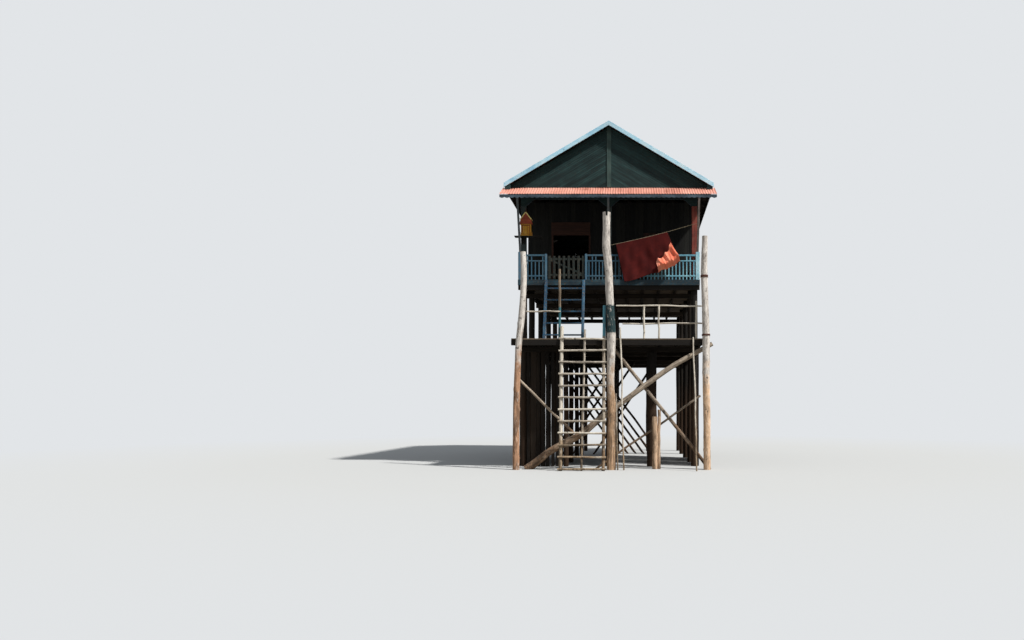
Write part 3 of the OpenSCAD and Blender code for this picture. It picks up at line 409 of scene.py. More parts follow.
def shell_faces(row, rows, flip=False):
    """The faces of a thin sheet: two layers, each of `rows` lines of `row` points."""
    size, faces = row * rows, []
    for start in range(0, size - row, row):
        for a in range(start, start + row - 1):
            b = a + size
            faces += [(a, a + row, a + row + 1, a + 1), (b, b + 1, b + row + 1, b + row)]
    for a in range(row - 1):
        b = a + size
        c, d = b - row, b - row + size
        faces += [(a, a + 1, b + 1, b), (c, d, d + 1, c + 1)]
    for a in range(0, size - row, row):
        b = a + size
        c, d = a + row - 1, b + row - 1
        faces += [(a, b, b + row, a + row), (c, c + row, d + row, d)]
    return [(f[0], *f[:0:-1]) for f in faces] if flip else faces


def side_ways(way, up=(0, 0, 1)):
    """Two directions square to way, the first one level where up is plumb."""
    up = np.asarray(up, float)
    if abs(np.dot(way, up)) > 0.995:
        up = ALONG_Y
    u = unit(np.cross(up, way))
    return u, np.cross(way, u)


def bar(stock, a, b, width, thick, up=(0, 0, 1), chamfer=0.004, wave=0.0012, step=0.4):
    """A sawn piece from a to b with eased edges: width is square to up, thick runs along it."""
    a, b = np.asarray(a, float), np.asarray(b, float)
    length = np.linalg.norm(b - a)
    way = (b - a) / length
    u, v = side_ways(way, up)
    c = min(chamfer, width * 0.3, thick * 0.3)
    w, t = width / 2, thick / 2
    section = np.array([(w, -t + c), (w, t - c), (w - c, t), (-w + c, t),
                        (-w, t - c), (-w, -t + c), (-w + c, -t), (w - c, -t)])
    inner = section * [(w - c) / w, (t - c) / t]
    mids = max(1, int(length / step))
    places = [0.0, c] + [length * k / (mids + 1) for k in range(1, mids + 1)] + [length - c, length]
    points, grain = [], []
    for k, s in enumerate(places):
        ring = inner if k in (0, len(places) - 1) else section
        sway = rng.normal(0, wave, 2) if 2 <= k < len(places) - 2 else np.zeros(2)
        for p in ring:
            q = p + sway
            points.append(a + way * s + u * q[0] + v * q[1])
            grain.append((s, p[0], p[1]))
    stock.add(points, ring_faces(len(places), 8), grain, rng.random())


def box_bar(stock, low, high, **more):
    """A sawn piece in an upright box, with its grain along the longest side."""
    low, high = np.asarray(low, float), np.asarray(high, float)
    size, mid = high - low, (low + high) / 2
    axis = int(np.argmax(size))
    a, b = mid.copy(), mid.copy()
    a[axis], b[axis] = low[axis], high[axis]
    wide, thick = (k for k in range(3) if k != axis)
    bar(stock, a, b, size[wide], size[thick], up=(0, 0, 1) if axis != 2 else (0, 1, 0), **more)


def lumps(rings, sides, places, size, knots):
    """A smooth uneven field over a trunk: slow swells, and knots."""
    s, t = places[:, None], np.arange(sides)[None, :] * 2 * pi / sides
    field = np.zeros((rings, sides))
    for order, beat, share in ((1, 1.3, 0.5), (2, 2.9, 0.4), (3, 5.1, 0.3), (2, 9.0, 0.25), (5, 7.0, 0.15)):
        field += share * np.cos(order * t + beat * s * rng.uniform(0.7, 1.3) + rng.uniform(0, 7))
    field *= size
    for _ in range(knots):
        s0, t0 = rng.uniform(places[0], places[-1]), rng.uniform(0, 2 * pi)
        apart = np.angle(np.exp(1j * (t - t0)))
        field += rng.uniform(0.06, 0.16) * np.exp(-((s - s0) / 0.05) ** 2 - (apart / 0.45) ** 2)
    return field


def trunk(stock, path, sides, step, lump, knots, sway=0.0, ground=False, tone=None):
    """A trunk along (x, y, z, diameter) points: knots are counted per metre, ground stops it at the floor."""
    path = np.asarray(path, float)
    run = np.concatenate([[0], np.cumsum(np.linalg.norm(np.diff(path[:, :3], axis=0), axis=1))])
    rings = max(5, int(run[-1] / step))
    places = np.linspace(0, run[-1], rings)
    if len(path) > 2:
        slopes = np.gradient(path, run, axis=0)
        index = np.clip(np.searchsorted(run, places, "right") - 1, 0, len(run) - 2)
        h = (run[index + 1] - run[index])[:, None]
        f = ((places - run[index]) / h[:, 0])[:, None]
        line = ((2 * f**3 - 3 * f**2 + 1) * path[index] + (f**3 - 2 * f**2 + f) * h * slopes[index]
                + (3 * f**2 - 2 * f**3) * path[index + 1] + (f**3 - f**2) * h * slopes[index + 1])
    else:
        line = path[0] + (path[1] - path[0]) * (places / run[-1])[:, None]
    centres, radii = line[:, :3].copy(), line[:, 3] / 2
    ways = np.gradient(centres, axis=0)
    ways /= np.linalg.norm(ways, axis=1)[:, None]
    u, v = side_ways(ways[0])
    if sway:
        env = np.sin(pi * places / run[-1])[:, None]
        for beat in (1.0, 2.3, 4.1):
            bend = np.sin(beat * 6 * places[:, None] / run[-1] + rng.uniform(0, 7, 2))
            centres += sway / beat * env * (bend @ (u, v))
    field = lumps(rings, sides, places, lump, int(knots * run[-1]))
    turn = np.arange(sides) * 2 * pi / sides
    flat = np.outer(np.cos(turn), (0, 1, 0)) + np.outer(np.sin(turn), (0, 0, 1))
    points, grain = [], []
    for i in range(rings):
        u = unit(u - ways[i] * np.dot(u, ways[i]))
        v = np.cross(ways[i], u)
        r = radii[i] * (1 + field[i])
        points.append(centres[i] + np.outer(r * np.cos(turn), u) + np.outer(r * np.sin(turn), v))
        grain.append(flat * radii[i] + [places[i], 0, 0])
    points, grain = np.concatenate(points), np.concatenate(grain)
    if ground:
        points[:, 2] = np.maximum(points[:, 2], 0.0)
    stock.add(points, ring_faces(rings, sides), grain, rng.random() if tone is None else tone)


# ---- CAD nodes, read and dressed
def welded(node):
    """A CAD node as a bmesh with its points joined."""
    work = bmesh.new()
    work.from_mesh(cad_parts[node].data)
    bmesh.ops.remove_doubles(work, verts=work.verts, dist=1e-5)
    return work


def groups_of(work):
    """The points of a bmesh, in groups that hang together."""
    seen, groups = set(), []
    for start in work.verts:
        if start in seen:
            continue
        stack, group = [start], []
        seen.add(start)
        while stack:
            v = stack.pop()
            group.append(v)
            for w in (e.other_vert(v) for e in v.link_edges):
                if w not in seen:
                    seen.add(w)
                    stack.append(w)
        groups.append(group)
    return groups


def solids(node):
    """The corners of each solid of a CAD node."""
    work = welded(node)
    found = [np.array([tuple(v.co) for v in group]) for group in groups_of(work)]
    work.free()
    return sorted(found, key=lambda c: tuple(np.round(c.mean(0), 3)))


def pole_ends(corners):
    """The two ends and the diameter of a straight round pole."""
    mid = corners.mean(0)
    way = np.linalg.svd(corners - mid, full_matrices=False)[2][0]
    way = way if way[np.argmax(np.abs(way))] > 0 else -way
    along = (corners - mid) @ way
    top = corners[along > along.max() - 0.006]
    bottom = corners[along < along.min() + 0.006]
    if corners[:, 2].min() < 1e-4 and way[2] > 0.3:
        bottom = corners[corners[:, 2] < 1e-4]
    a, b = bottom.mean(0), top.mean(0)
    return a, b, 2 * np.linalg.norm(top - b, axis=1).max()


def poles_of(name, node, material, sides=16, step=0.1, lump=0.03, knots=0.8, sway=0.006, taper=0.0,
             special=None):
    """A node's straight poles: special picks a material of their own for some of them."""
    stocks = {material: Stock()}
    for corners in solids(node):
        a, b, d = pole_ends(corners)
        stock = stocks.setdefault(special and special(a, b, d) or material, Stock())
        way = unit(b - a)
        ground = a[2] < 1e-3 and way[2] > 0.3
        if ground:
            a = a - way * d * sqrt(1 - way[2] ** 2) * 0.6
        trunk(stock, [(*a, d * (1 + taper)), (*b, d * (1 - taper))], sides, step, lump, knots, sway, ground)
    for key, stock in stocks.items():
        extra = key != material
        stock.piece(f"{name}_{key}" if extra else name, key, node, smooth=True, extra=extra)


def bars_of(name, node, material, extra=False, wanted=lambda low: True, **more):
    """A node's straight timbers, or those that are wanted in this material."""
    stock = Stock()
    for corners in solids(node):
        if wanted(corners.min(0)):
            box_bar(stock, corners.min(0), corners.max(0), **more)
    stock.piece(name, material, node, extra=extra)


def eased(name, node, material, width):
    """A copy of a CAD node with eased edges."""
    work = welded(node)
    bmesh.ops.dissolve_limit(work, angle_limit=radians(1), verts=work.verts, edges=work.edges)
    sharp = [e for e in work.edges if len(e.link_faces) == 2 and e.calc_face_angle(0) > radians(25)]
    bmesh.ops.bevel(work, geom=sharp, offset=width, segments=1, affect="EDGES", clamp_overlap=True)
    work.verts.index_update()
    co = np.array([tuple(v.co) for v in work.verts])
    grain, tone = co.copy(), np.zeros(len(co))
    for group in groups_of(work):
        group = [v.index for v in group]
        order = np.argsort(-(co[group].max(0) - co[group].min(0)))
        grain[group] = co[group][:, order] + rng.uniform(0, 40, 3)
        tone[group] = rng.random()
    mesh = bpy.data.meshes.new(name)
    work.to_mesh(mesh)
    work.free()
    finish_piece(name, mesh, material, grain, tone, node)


# ---- logs and poles
def upright(path, x):
    return [(x + p[0] / 1000, PLAT_FRONT - 0.0003 - p[2] / 2000, p[1] / 1000, p[2] / 1000) for p in path]


# The crooked logs, as in the part's source: across, height and diameter in millimetres.
LEFT_LOG = upright([(-10, 0, 195), (0, 1800, 186), (22, 2600, 182), (68, 3650, 176), (138, 4300, 184),
                    (182, 4850, 176), (214, 5540, 166), (188, 6240, 152)], -LINE)
CENTRE_LOG = upright([(117, 0, 256), (123, 900, 240), (122, 1800, 226), (92, 2560, 214), (112, 3300, 228),
                      (121, 3800, 252), (86, 4700, 222), (61, 5130, 226), (46, 5540, 214), (12, 6000, 222),
                      (-22, 6290, 228), (-20, 6900, 212), (-17, 7360, 226)], 0)
RIGHT_LOG = upright([(255, 0, 206), (247, 1800, 200), (231, 2560, 206), (226, 3800, 208), (196, 4850, 194),
                     (176, 5540, 186), (196, 6690, 164)], LINE)
LONG_BRACE = [(p[0] / 1000, PLAT_FRONT + p[2] / 2000, p[1] / 1000, p[2] / 1000) for p in
              [(-2357, 0, 230), (-2140, 147, 225), (-1650, 520, 205), (-1200, 770, 215), (-750, 1010, 190),
               (-350, 1350, 185), (250, 1800, 160), (1000, 2360, 152), (2000, 3050, 146), (2640, 3410, 136),
               (3020, 3620, 126)]]


def make_logs():
    for node, path, material, sides, step, lump, knots in (
            ("left_log", LEFT_LOG, "left_pole", 36, 0.035, 0.042, 2.6),
            ("centre_log", CENTRE_LOG, "centre_pole", 36, 0.035, 0.042, 2.0),
            ("right_log", RIGHT_LOG, "right_pole", 36, 0.035, 0.042, 2.4),
            ("long_brace", LONG_BRACE, "brace_pole", 30, 0.04, 0.045, 2.6)):
        stock = Stock()
        trunk(stock, path, sides, step, lump, knots, ground=True, tone=0.5)
        log = stock.piece(node + "_bark", material, node, smooth=True)
        if path is CENTRE_LOG:
            cut_fork(log)


def cut_fork(log):
    """The forked top: a block is cut out of the log."""
    deep = 0.3
    bpy.ops.mesh.primitive_cube_add(size=1)
    block = bpy.context.object
    block.scale = (FORK_W, 0.5, deep)
    block.location = (*CENTRE_LOG[-1][:2], FORK_BOTTOM + deep / 2)
    mod = log.modifiers.new("fork", "BOOLEAN")
    mod.operation, mod.object, mod.solver = "DIFFERENCE", block, "EXACT"
    bpy.context.view_layer.update()
    cut = bpy.data.meshes.new_from_object(log.evaluated_get(bpy.context.evaluated_depsgraph_get()))
    cut.set_sharp_from_angle(angle=SHARP)
    log.modifiers.clear()
    log.data = cut
    bpy.data.objects.remove(block)


def make_poles():
    poles_of("stilt_trunks", "stilts", "dark_timber", 18, 0.22, 0.025, sway=0.008, taper=0.03)
    poles_of("inner_stilt_trunks", "inner_stilts", "dark_timber", 16, 0.22, sway=0.008, taper=0.03)
    poles_of("cross_brace_poles", "cross_braces", "brace_pole", 16, 0.07, 0.05, 1.6, 0.010)
    poles_of("thin_leaning_poles", "thin_poles", "thin_pole", 14, 0.05, 0.06, 2, 0.014,
             special=lambda a, b, d: "stump_pole" if d > 0.08 else None)
    poles_of("rear_brace_poles", "rear_braces", "dark_timber", 12, 0.15, 0.05, sway=0.012)
    poles_of("ladder_stile_poles", "ladder_stiles", "thin_pole", 18, 0.05, 0.05, 2, 0.004,
             special=lambda a, b, d: "blue_stile" if b[2] > 4.5 else None)
    poles_of("ladder_rung_poles", "ladder_rungs", "thin_pole", 14, 0.05, 0.05, 2, 0.003)
    poles_of("platform_rail_poles", "platform_rails", "thin_pole", 14, 0.05, 0.06, 2, 0.010,
             special=lambda a, b, d: "hand_pole" if d > 0.065 and b[2] > 5.5 else None)


# ---- frames, floors and walls
def deck(name, node, post_half):
    """Floor boards across the house, let round the posts."""
    low, high = (np.array(c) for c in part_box(node))
    stock = Stock()
    cuts = sorted({low[1], high[1], *(c for y in ROWS for c in (y - post_half, y + post_half))})
    for y0, y1 in zip(cuts, cuts[1:]):
        width = y1 - y0
        n = max(1, round(width / BOARD_W))
        spans = [(low[0], high[0])]
        if any(abs((y0 + y1) / 2 - y) < 0.01 for y in ROWS):
            stops = [low[0], *(c for x in (-LINE, 0, LINE) for c in (x - post_half, x + post_half)), high[0]]
            spans = list(zip(stops[::2], stops[1::2]))
        for i in range(n):
            a, b = y0 + width * i / n + BOARD_GAP / 2, y0 + width * (i + 1) / n - BOARD_GAP / 2
            for x0, x1 in spans:
                left = x0 + (rng.uniform(0, 0.012) if x0 == low[0] else 0)
                bottom = low[2] + abs(rng.normal(0, 0.001))
                right = x1 - (rng.uniform(0, 0.012) if x1 == high[0] else 0)
                box_bar(stock, (left, a, bottom), (right, b, high[2] - abs(rng.normal(0, 0.0015))),
                        wave=0.0008, step=1.4)
    stock.piece(name, "floor_boards", node)


def clad(name, node, material, width=0.15, gap=0.0006, lift=0.0018):
    """Upright boards in place of each flat panel of a node."""
    stock = Stock()
    for corners in solids(node):
        low, high = corners.min(0), corners.max(0)
        across = 0 if high[0] - low[0] > high[1] - low[1] else 1
        flat = 1 - across
        total = high[across] - low[across]
        n = max(1, round(total / width))
        edges = low[across] + total * np.arange(n + 1) / n
        edges[1:-1] += rng.uniform(-0.06, 0.06, n - 1) * total / n
        for near, far in zip(edges, edges[1:]):
            a, b = low.copy(), high.copy()
            a[across], b[across] = near + gap / 2, far - gap / 2
            a[flat] += abs(rng.normal(0, lift))
            b[flat] -= abs(rng.normal(0, lift))
            x, y = (a[:2] + b[:2]) / 2
            bar(stock, (x, y, a[2]), (x, y, b[2]), b[across] - a[across], b[flat] - a[flat],
                up=(ALONG_X, ALONG_Y)[flat], step=0.9)
    stock.piece(name, material, node)


def clip(outline, normal, offset):
    """The part of a convex outline where normal . p <= offset."""
    out = []
    for i, p in enumerate(outline):
        q = outline[(i + 1) % len(outline)]
        dp, dq = np.dot(normal, p) - offset, np.dot(normal, q) - offset
        if dp <= 0:
            out.append(p)
        if (dp < 0 < dq) or (dq < 0 < dp):
            out.append(p + (q - p) * dp / (dp - dq))
    return out


def flat_board(stock, outline, y0, y1, way, chamfer=0.0025, set_back=lambda p: 0.0):
    """A board of any convex outline in X and Z with eased edges: set_back leans its front face."""
    pts = np.array(outline)
    if len(pts) < 3:
        return
    area = 0.5 * np.sum(pts[:, 0] * np.roll(pts[:, 1], -1) - np.roll(pts[:, 0], -1) * pts[:, 1])
    if abs(area) < 4e-4:
        return
    if area < 0:
        pts = pts[::-1]
    centre = pts.mean(0)
    inner = centre + (pts - centre) * (1 - chamfer / max(0.03, np.abs(pts - centre).max() * 0.3))
    rings = [(inner, y0), (pts, y0 + chamfer), (pts, y1 - chamfer), (inner, y1)]
    points = [(p[0], y + (set_back(p) if k < 2 else 0.0), p[1])
              for k, (ring, y) in enumerate(rings) for p in ring]
    side = np.array((-way[1], way[0]))
    grain = [(np.dot(p, way), np.dot(p, side), y) for ring, y in rings for p in ring]
    stock.add(points, ring_faces(4, len(pts)), grain, rng.random())


def make_gables():
    """Narrow boards that follow each slope, each one's front face leaning a little."""
    stock = Stock()
    low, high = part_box("gables")
    base, apex = low.z, high.z
    half_base, pent_top = 2.68, base + 0.125
    out = (apex - pent_top) / TAN
    for y0, y1 in ((-4.305, -4.28), (4.88, 4.905)):
        for side, lean in ((-1, 0.011), (1, 0.0045)):
            half = [np.array((side * x, z))
                    for x, z in ((0, base), (half_base, base), (out, pent_top), (0, apex))]
            normal, way = np.array((side * SIN, COS)), np.array((side * COS, -SIN))
            q = apex * COS
            while q > base * COS - 1.6:
                strip = clip(clip(half, normal, q - 0.0004), -normal, -(q - STRIP_W + 0.0004))
                flat_board(stock, strip, y0, y1, way, 0.0015,
                           lambda p: lean * (np.dot(p, normal) - q + STRIP_W) / STRIP_W)
                q -= STRIP_W
    stock.piece("gable_boards", "gable", "gables")


def make_trim():
    """The boards that close the eaves' ends, and the moulding along the fascia's lower edge."""
    stock = Stock()
    front = ROOF_FRONT + 0.004
    inner, outer = 2.96, ROOF_HALF - 0.008
    pent_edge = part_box("pent_roof")[1]
    bottom = pent_edge.z - (pent_edge.y - front) * tan(PENT_PITCH) + 0.006
    for side in (-1, 1):
        outline = [np.array((side * x, z)) for x, z in ((inner, bottom), (outer, bottom),
                                                        (outer, roof_z(ROOF_HALF) - 0.045),
                                                        (inner, roof_z(inner) - 0.045))]
        flat_board(stock, outline, front, front + 0.022, ALONG_X[:2])
    stock.piece("eave_end_boards", "gable", "gables", extra=True)
    stock = Stock()
    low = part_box("veranda_fascia")[0]
    bottom, top, front = low.z + 0.01, low.z + 0.2 + 0.01, low.y - 0.006
    for side in (-1, 1):
        edge = [(0.1, bottom), (0.33, top), (LINE - 0.33, top), (LINE - 0.1, bottom)]
        for (x0, z0), (x1, z1) in zip(edge, edge[1:]):
            bar(stock, (side * x0, front, z0), (side * x1, front, z1), 0.012, 0.018, chamfer=0.002, wave=0)
    stock.piece("fascia_moulding", "valance", "veranda_fascia", extra=True)


def make_timbers():
    for node in ("platform_beams", "platform_joists", "floor_beams", "floor_joists", "tie_beams",
                 "wall_plates"):
        bars_of(node + "_sawn", node, "dark_timber", chamfer=0.006, wave=0.002, step=0.6)
    squared = {"chamfer": 0.007, "wave": 0.0015, "step": 0.5}
    bars_of("room_post_timbers", "room_posts", "dark_timber", **squared)
    bars_of("veranda_post_red", "veranda_posts", "red_brown", wanted=lambda low: low[0] > 1, **squared)
    bars_of("veranda_posts_dark", "veranda_posts", "post_dark", True, lambda low: low[0] <= 1, **squared)
    bars_of("screen_planks", "plank_screens", "screen_boards", wave=0.003, step=0.3)
    bars_of("edge_beam_board", "edge_beam", "edge_blue", step=0.5)
    bars_of("upper_treads", "upper_ladder_treads", "deep_blue", chamfer=0.005)
    bars_of("rail_post_timbers", "rail_posts", "post_blue", chamfer=0.006)
    for node, material, width in (
            ("rafters", "dark_timber", 0.005), ("purlins", "dark_timber", 0.004),
            ("pent_frame", "dark_timber", 0.004), ("bargeboards", "pale_blue", 0.003),
            ("gable_strip", "strip", 0.003), ("veranda_fascia", "gable", 0.003),
            ("pent_valance", "valance", 0.0015), ("eave_props", "prop", 0.004),
            ("shrine_shelf", "dark_timber", 0.003), ("upper_ladder_stiles", "deep_blue", 0.005),
            ("front_balustrade", "blue", 0.0025), ("side_balustrades", "blue", 0.0025)):
        eased(node + "_eased", node, material, width)
    deck("platform_boards", "platform_deck", 0.108)
    deck("house_floor_boards", "floor_deck", 0.084)
    clad("inner_wall_boards", "front_wall", "wall_boards")
    clad("side_wall_boards", "side_walls", "wall_boards")
    clad("back_wall_boards", "back_wall", "wall_boards")
    bars_of("door_panel_and_jambs", "door_surround", "brown_panel", chamfer=0.003)
    clad("shutter_boards", "shutters", "brown_panel", 0.11, 0.001, 0.001)


# ---- roofs
def sheet_row(stock, origin, ways, waves, reach, length, sinks, ragged):
    """Corrugated sheets side by side along `reach`: ways are along it, down the slope and square to it."""
    along, down, normal = ways
    wavelength = reach / waves
    for k, wave in enumerate(range(0, waves - 1, SHEET_WAVES - 1)):
        n = min(SHEET_WAVES, waves - wave) * PER_WAVE
        turn, low_edge = rng.normal(0, 0.0015), length + rng.uniform(-ragged, ragged)
        points, grain = [], []
        for layer in (0, 1):
            for s in (low_edge * j / DOWN_STEPS for j in range(DOWN_STEPS + 1)):
                for i in range(n + 1):
                    a = wave * wavelength + wavelength * i / PER_WAVE
                    h = -WAVE_DEPTH * (1 - cos(2 * pi * i / PER_WAVE)) / 2
                    h += 0.0012 * sin(5 * a + 3 * s + turn * 900) - sinks[k % 2] - layer * SHEET_T
                    points.append(origin + along * (a + turn * s) + down * s + normal * h)
                    grain.append((s, a, layer * 0.2))
        stock.add(points, shell_faces(n + 1, DOWN_STEPS + 1), grain, rng.random())


def make_roof():
    stock = Stock()
    lower = 1.82  # where the second row of sheets starts, below the ridge
    for side in (-1, 1):
        ways = ALONG_Y, np.array((side * COS, 0, -SIN)), np.array((side * SIN, 0, COS))
        for start, length, sink, ragged in ((0.02, 1.95, 0.0015, 0.001),
                                            (lower, ROOF_HALF / COS - lower - 0.008, 0.0015 + 0.004, 0.006)):
            origin = np.array((side * 0.0005, ROOF_FRONT, RIDGE)) + ways[1] * start
            sheet_row(stock, origin, ways, ROOF_WAVES, ROOF_BACK - ROOF_FRONT, length,
                      (sink, sink + 0.0016), ragged)
    stock.piece("corrugated_roof", "rusty_sheet", "roof_sheets", smooth=True)

    stock = Stock()
    low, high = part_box("pent_roof")
    fall, level = sin(PENT_PITCH), cos(PENT_PITCH)
    ways = ALONG_X, np.array((0, -level, -fall)), np.array((0, -fall, level))
    sheet_row(stock, np.array((low.x, high.y, high.z)), ways, PENT_WAVES, high.x - low.x,
              (high.y - low.y) / level - 0.004, (0.003, 0.0015), 0.003)
    stock.piece("corrugated_pent", "salmon_sheet", "pent_roof", smooth=True)

    stock = Stock()
    y = ROOF_FRONT
    while y < ROOF_BACK - 0.05:
        end = min(y + CAP_LENGTH, ROOF_BACK)
        lift = 0.0115 + (0.002 if int((y - ROOF_FRONT) / 2) % 2 else 0)
        profile = [(x, RIDGE - (sqrt(x * x + 0.012**2) - 0.004) * TAN + lift)
                   for x in np.linspace(-CAP_HALF, CAP_HALF, CAP_POINTS)]
        grain = [(place, x, z) for place in (y, (y + end) / 2, end) for x, z in profile]
        points = [(x, place, z - layer * CAP_T) for layer in (0, 1) for place, x, z in grain]
        stock.add(points, shell_faces(CAP_POINTS, 3, flip=True), grain * 2, rng.random())
        y = end - CAP_LAP if end < ROOF_BACK else ROOF_BACK
    stock.piece("folded_ridge", "rusty_sheet", "ridge_cap", smooth=True)


# ---- gate and shrine
def make_gate():
    left, right, back, front = -1.8395, -0.7445, -4.315, -4.34
    rails = FLOOR + 0.155, FLOOR + 0.64
    pin_x, pin_y, bore, sides = -0.736, -4.304, 0.0059, 24
    board, planed = 0.07, {"chamfer": 0.003, "wave": 0.0008}
    stock = Stock()
    for i in range(8):
        x = left + i * ((right - left - board) / 7)
        top = FLOOR + 0.737 - rng.uniform(0, 0.006)
        box_bar(stock, (x, front - 0.015, FLOOR + 0.04), (x + board, front, top), step=0.3, **planed)
    for z in rails:
        box_bar(stock, (left, front, z - 0.032), (right, back, z + 0.032), **planed)
    bar(stock, (right - 0.04, front + 0.009, FLOOR + 0.175), (left + 0.04, front + 0.009, FLOOR + 0.62),
        0.018, 0.055, chamfer=0.003)
    stock.piece("gate_boards", "gate", "gate", body="gate")
    stock = Stock()
    for z in rails:
        low, high = z - 0.02, z + 0.02
        box_bar(stock, (right - 0.26, back, low), (-0.744, back + 0.004, high), chamfer=0.001, wave=0)
        points = [(pin_x + r * cos(t), pin_y + r * sin(t), height)
                  for r, height in ((bore, low), (0.011, low), (0.011, high), (bore, high))
                  for t in np.linspace(0, 2 * pi, sides, endpoint=False)]
        faces = [(j * sides + k, j * sides + (k + 1) % sides,
                  (j + 1) % 4 * sides + (k + 1) % sides, (j + 1) % 4 * sides + k)
                 for j in range(4) for k in range(sides)]
        stock.add(points, faces, points, 0.5)
    stock.piece("gate_straps", "steel", "hinge_pins", body="gate", extra=True)
    eased("hinge_pin_irons", "hinge_pins", "steel", 0.0008)


def make_shrine():
    """The small gold house on its shelf, measured from the middle of its base."""
    gold, red, pale, dark = Stock(), Stock(), Stock(), Stock()
    sides, ends = (-1, 1), (-0.0915, 0.0915)
    thin = {"chamfer": 0.0015, "wave": 0}

    def at(x, y, z, *more):
        return (x - 2.505, y - 4.385, z + 6.97, *more)

    def put(stock, mid, half, y0, y1, z0, z1):
        box_bar(stock, at(mid - half, y0, z0), at(mid + half, y1, z1), chamfer=0.002, wave=0)

    def plate(stock, outline, half):
        flat_board(stock, [np.array(at(x, 0, z)[::2]) for x, z in outline], at(0, -half, 0)[1],
                   at(0, half, 0)[1], ALONG_X[:2], chamfer=0.0015)

    put(gold, 0, 0.2, -0.096, 0.096, 0.0, 0.014)
    put(gold, 0, 0.19, -0.088, 0.088, 0.0142, 0.026)
    put(gold, 0, 0.138, 0.045, 0.062, 0.026, 0.350)
    put(gold, 0, 0.15, -0.072, 0.072, 0.3402, 0.356)
    for side in sides:
        for y in (-0.060, 0.060):
            put(gold, side * 0.137, 0.012, y - 0.011, y + 0.011, 0.026, 0.34)
        put(gold, side * 0.137, 0.006, -0.048, 0.048, 0.026, 0.338)
        put(gold, side * 0.186, 0.008, -0.093, -0.077, 0.026, 0.1)
        for low, high in ((0.084, 0.097), (0.05, 0.058)):
            put(gold, side * 0.13, 0.06, -0.091, -0.079, low, high)
        for k in range(5):
            put(gold, side * (0.08 + 0.025 * k), 0.004, -0.089, -0.081, 0.026, 0.084)
        put(gold, side * 0.052, 0.048, -0.038, -0.026, 0.03, 0.318)
        put(red, side * 0.112, 0.011, -0.05, -0.036, 0.03, 0.338)
        put(red, side * 0.052, 0.004, -0.044, -0.038, 0.036, 0.31)
    put(red, 0, 0.124, -0.0505, -0.0365, 0.314, 0.3385)
    put(dark, 0, 0.004, -0.034, -0.03, 0.03, 0.31)
    plate(red, [(-0.185, 0.356), (0.185, 0.356), (0.185, 0.378), (0.148, 0.506), (-0.148, 0.506),
                (-0.185, 0.378)], 0.084)
    plate(red, [(-0.14, 0.5065), (0.14, 0.5065), (0.0, 0.694)], 0.078)
    for side in sides:
        for k in range(5):
            t0, t1 = k / 5, min((k + 1) / 5 + 0.03, 1)
            bar(red, at(side * 0.154 * (1 - t0), 0, 0.51 + 0.2 * t0),
                at(side * 0.154 * (1 - t1), 0, 0.504 + 0.2 * t1), 0.172, 0.007, **thin)
        for k in range(4):
            t0, t1 = k / 4, (k + 1) / 4
            bar(red, at(side * (0.187 - 0.037 * t0), 0, 0.378 + 0.128 * t0),
                at(side * (0.189 - 0.037 * t1), 0, 0.382 + 0.128 * t1), 0.170, 0.006, **thin)
        for y in ends:
            bar(pale, at(side * 0.166, y, 0.49), at(0, y, 0.712), 0.011, 0.03, chamfer=0.002, wave=0)
            horn = [at(side * (0.163 + 0.02 * sin(1.5 * t)), y, 0.488 + 0.045 * t, 0.016 * (1 - 0.8 * t))
                    for t in np.linspace(0, 1, 9)]
            trunk(pale, horn, 8, 0.008, 0, 0, tone=0.5)
    for y in ends:
        spire = [at(0.004 * sin(5 * t), y, 0.706 + 0.147 * t, 0.022 * (1 - 0.75 * t))
                 for t in np.linspace(0, 1, 12)]
        trunk(dark, spire, 8, 0.01, 0, 0, tone=0.5)
    for stock, name, material in ((gold, "shrine_body", "gold"), (red, "shrine_roof_boards", "temple_red"),
                                  (pale, "shrine_gable_trim", "chevron"), (dark, "shrine_spires", "niche")):
        stock.piece(name, material, "shrine", extra=stock is not gold)


# ---- line, cloth and ropes
def line_ends():
    corners = solids("sunshade_line")[0]
    across = corners[:, 0]
    return corners[across < across.min() + 0.02].mean(0), corners[across > across.max() - 0.02].mean(0)


LINE_A, LINE_B = line_ends()


def line_at(x):
    """The point of the line at x, with its sag."""
    f = (x - LINE_A[0]) / (LINE_B[0] - LINE_A[0])
    p = LINE_A + (LINE_B - LINE_A) * f
    p[2] -= 0.035 * sin(pi * f)
    return p


def make_line():
    curve = bpy.data.curves.new("shade_line", "CURVE")
    curve.dimensions = "3D"
    curve.bevel_depth, curve.bevel_resolution = 0.005, 3
    curve.use_fill_caps = True
    spline = curve.splines.new("POLY")
    places = [line_at(x) for x in np.linspace(LINE_A[0], LINE_B[0], 30)]
    spline.points.add(len(places) - 1)
    for point, place in zip(spline.points, places):
        point.co = (*place, 1)
    curve.materials.append(MATS["rope"])
    line = put_in_scene("shade_line", curve)
    join_frame(line, "sunshade_line")


def ease(t):
    """0 to 1 with soft ends."""
    t = min(1.0, max(0.0, t))
    return t * t * (3 - 2 * t)


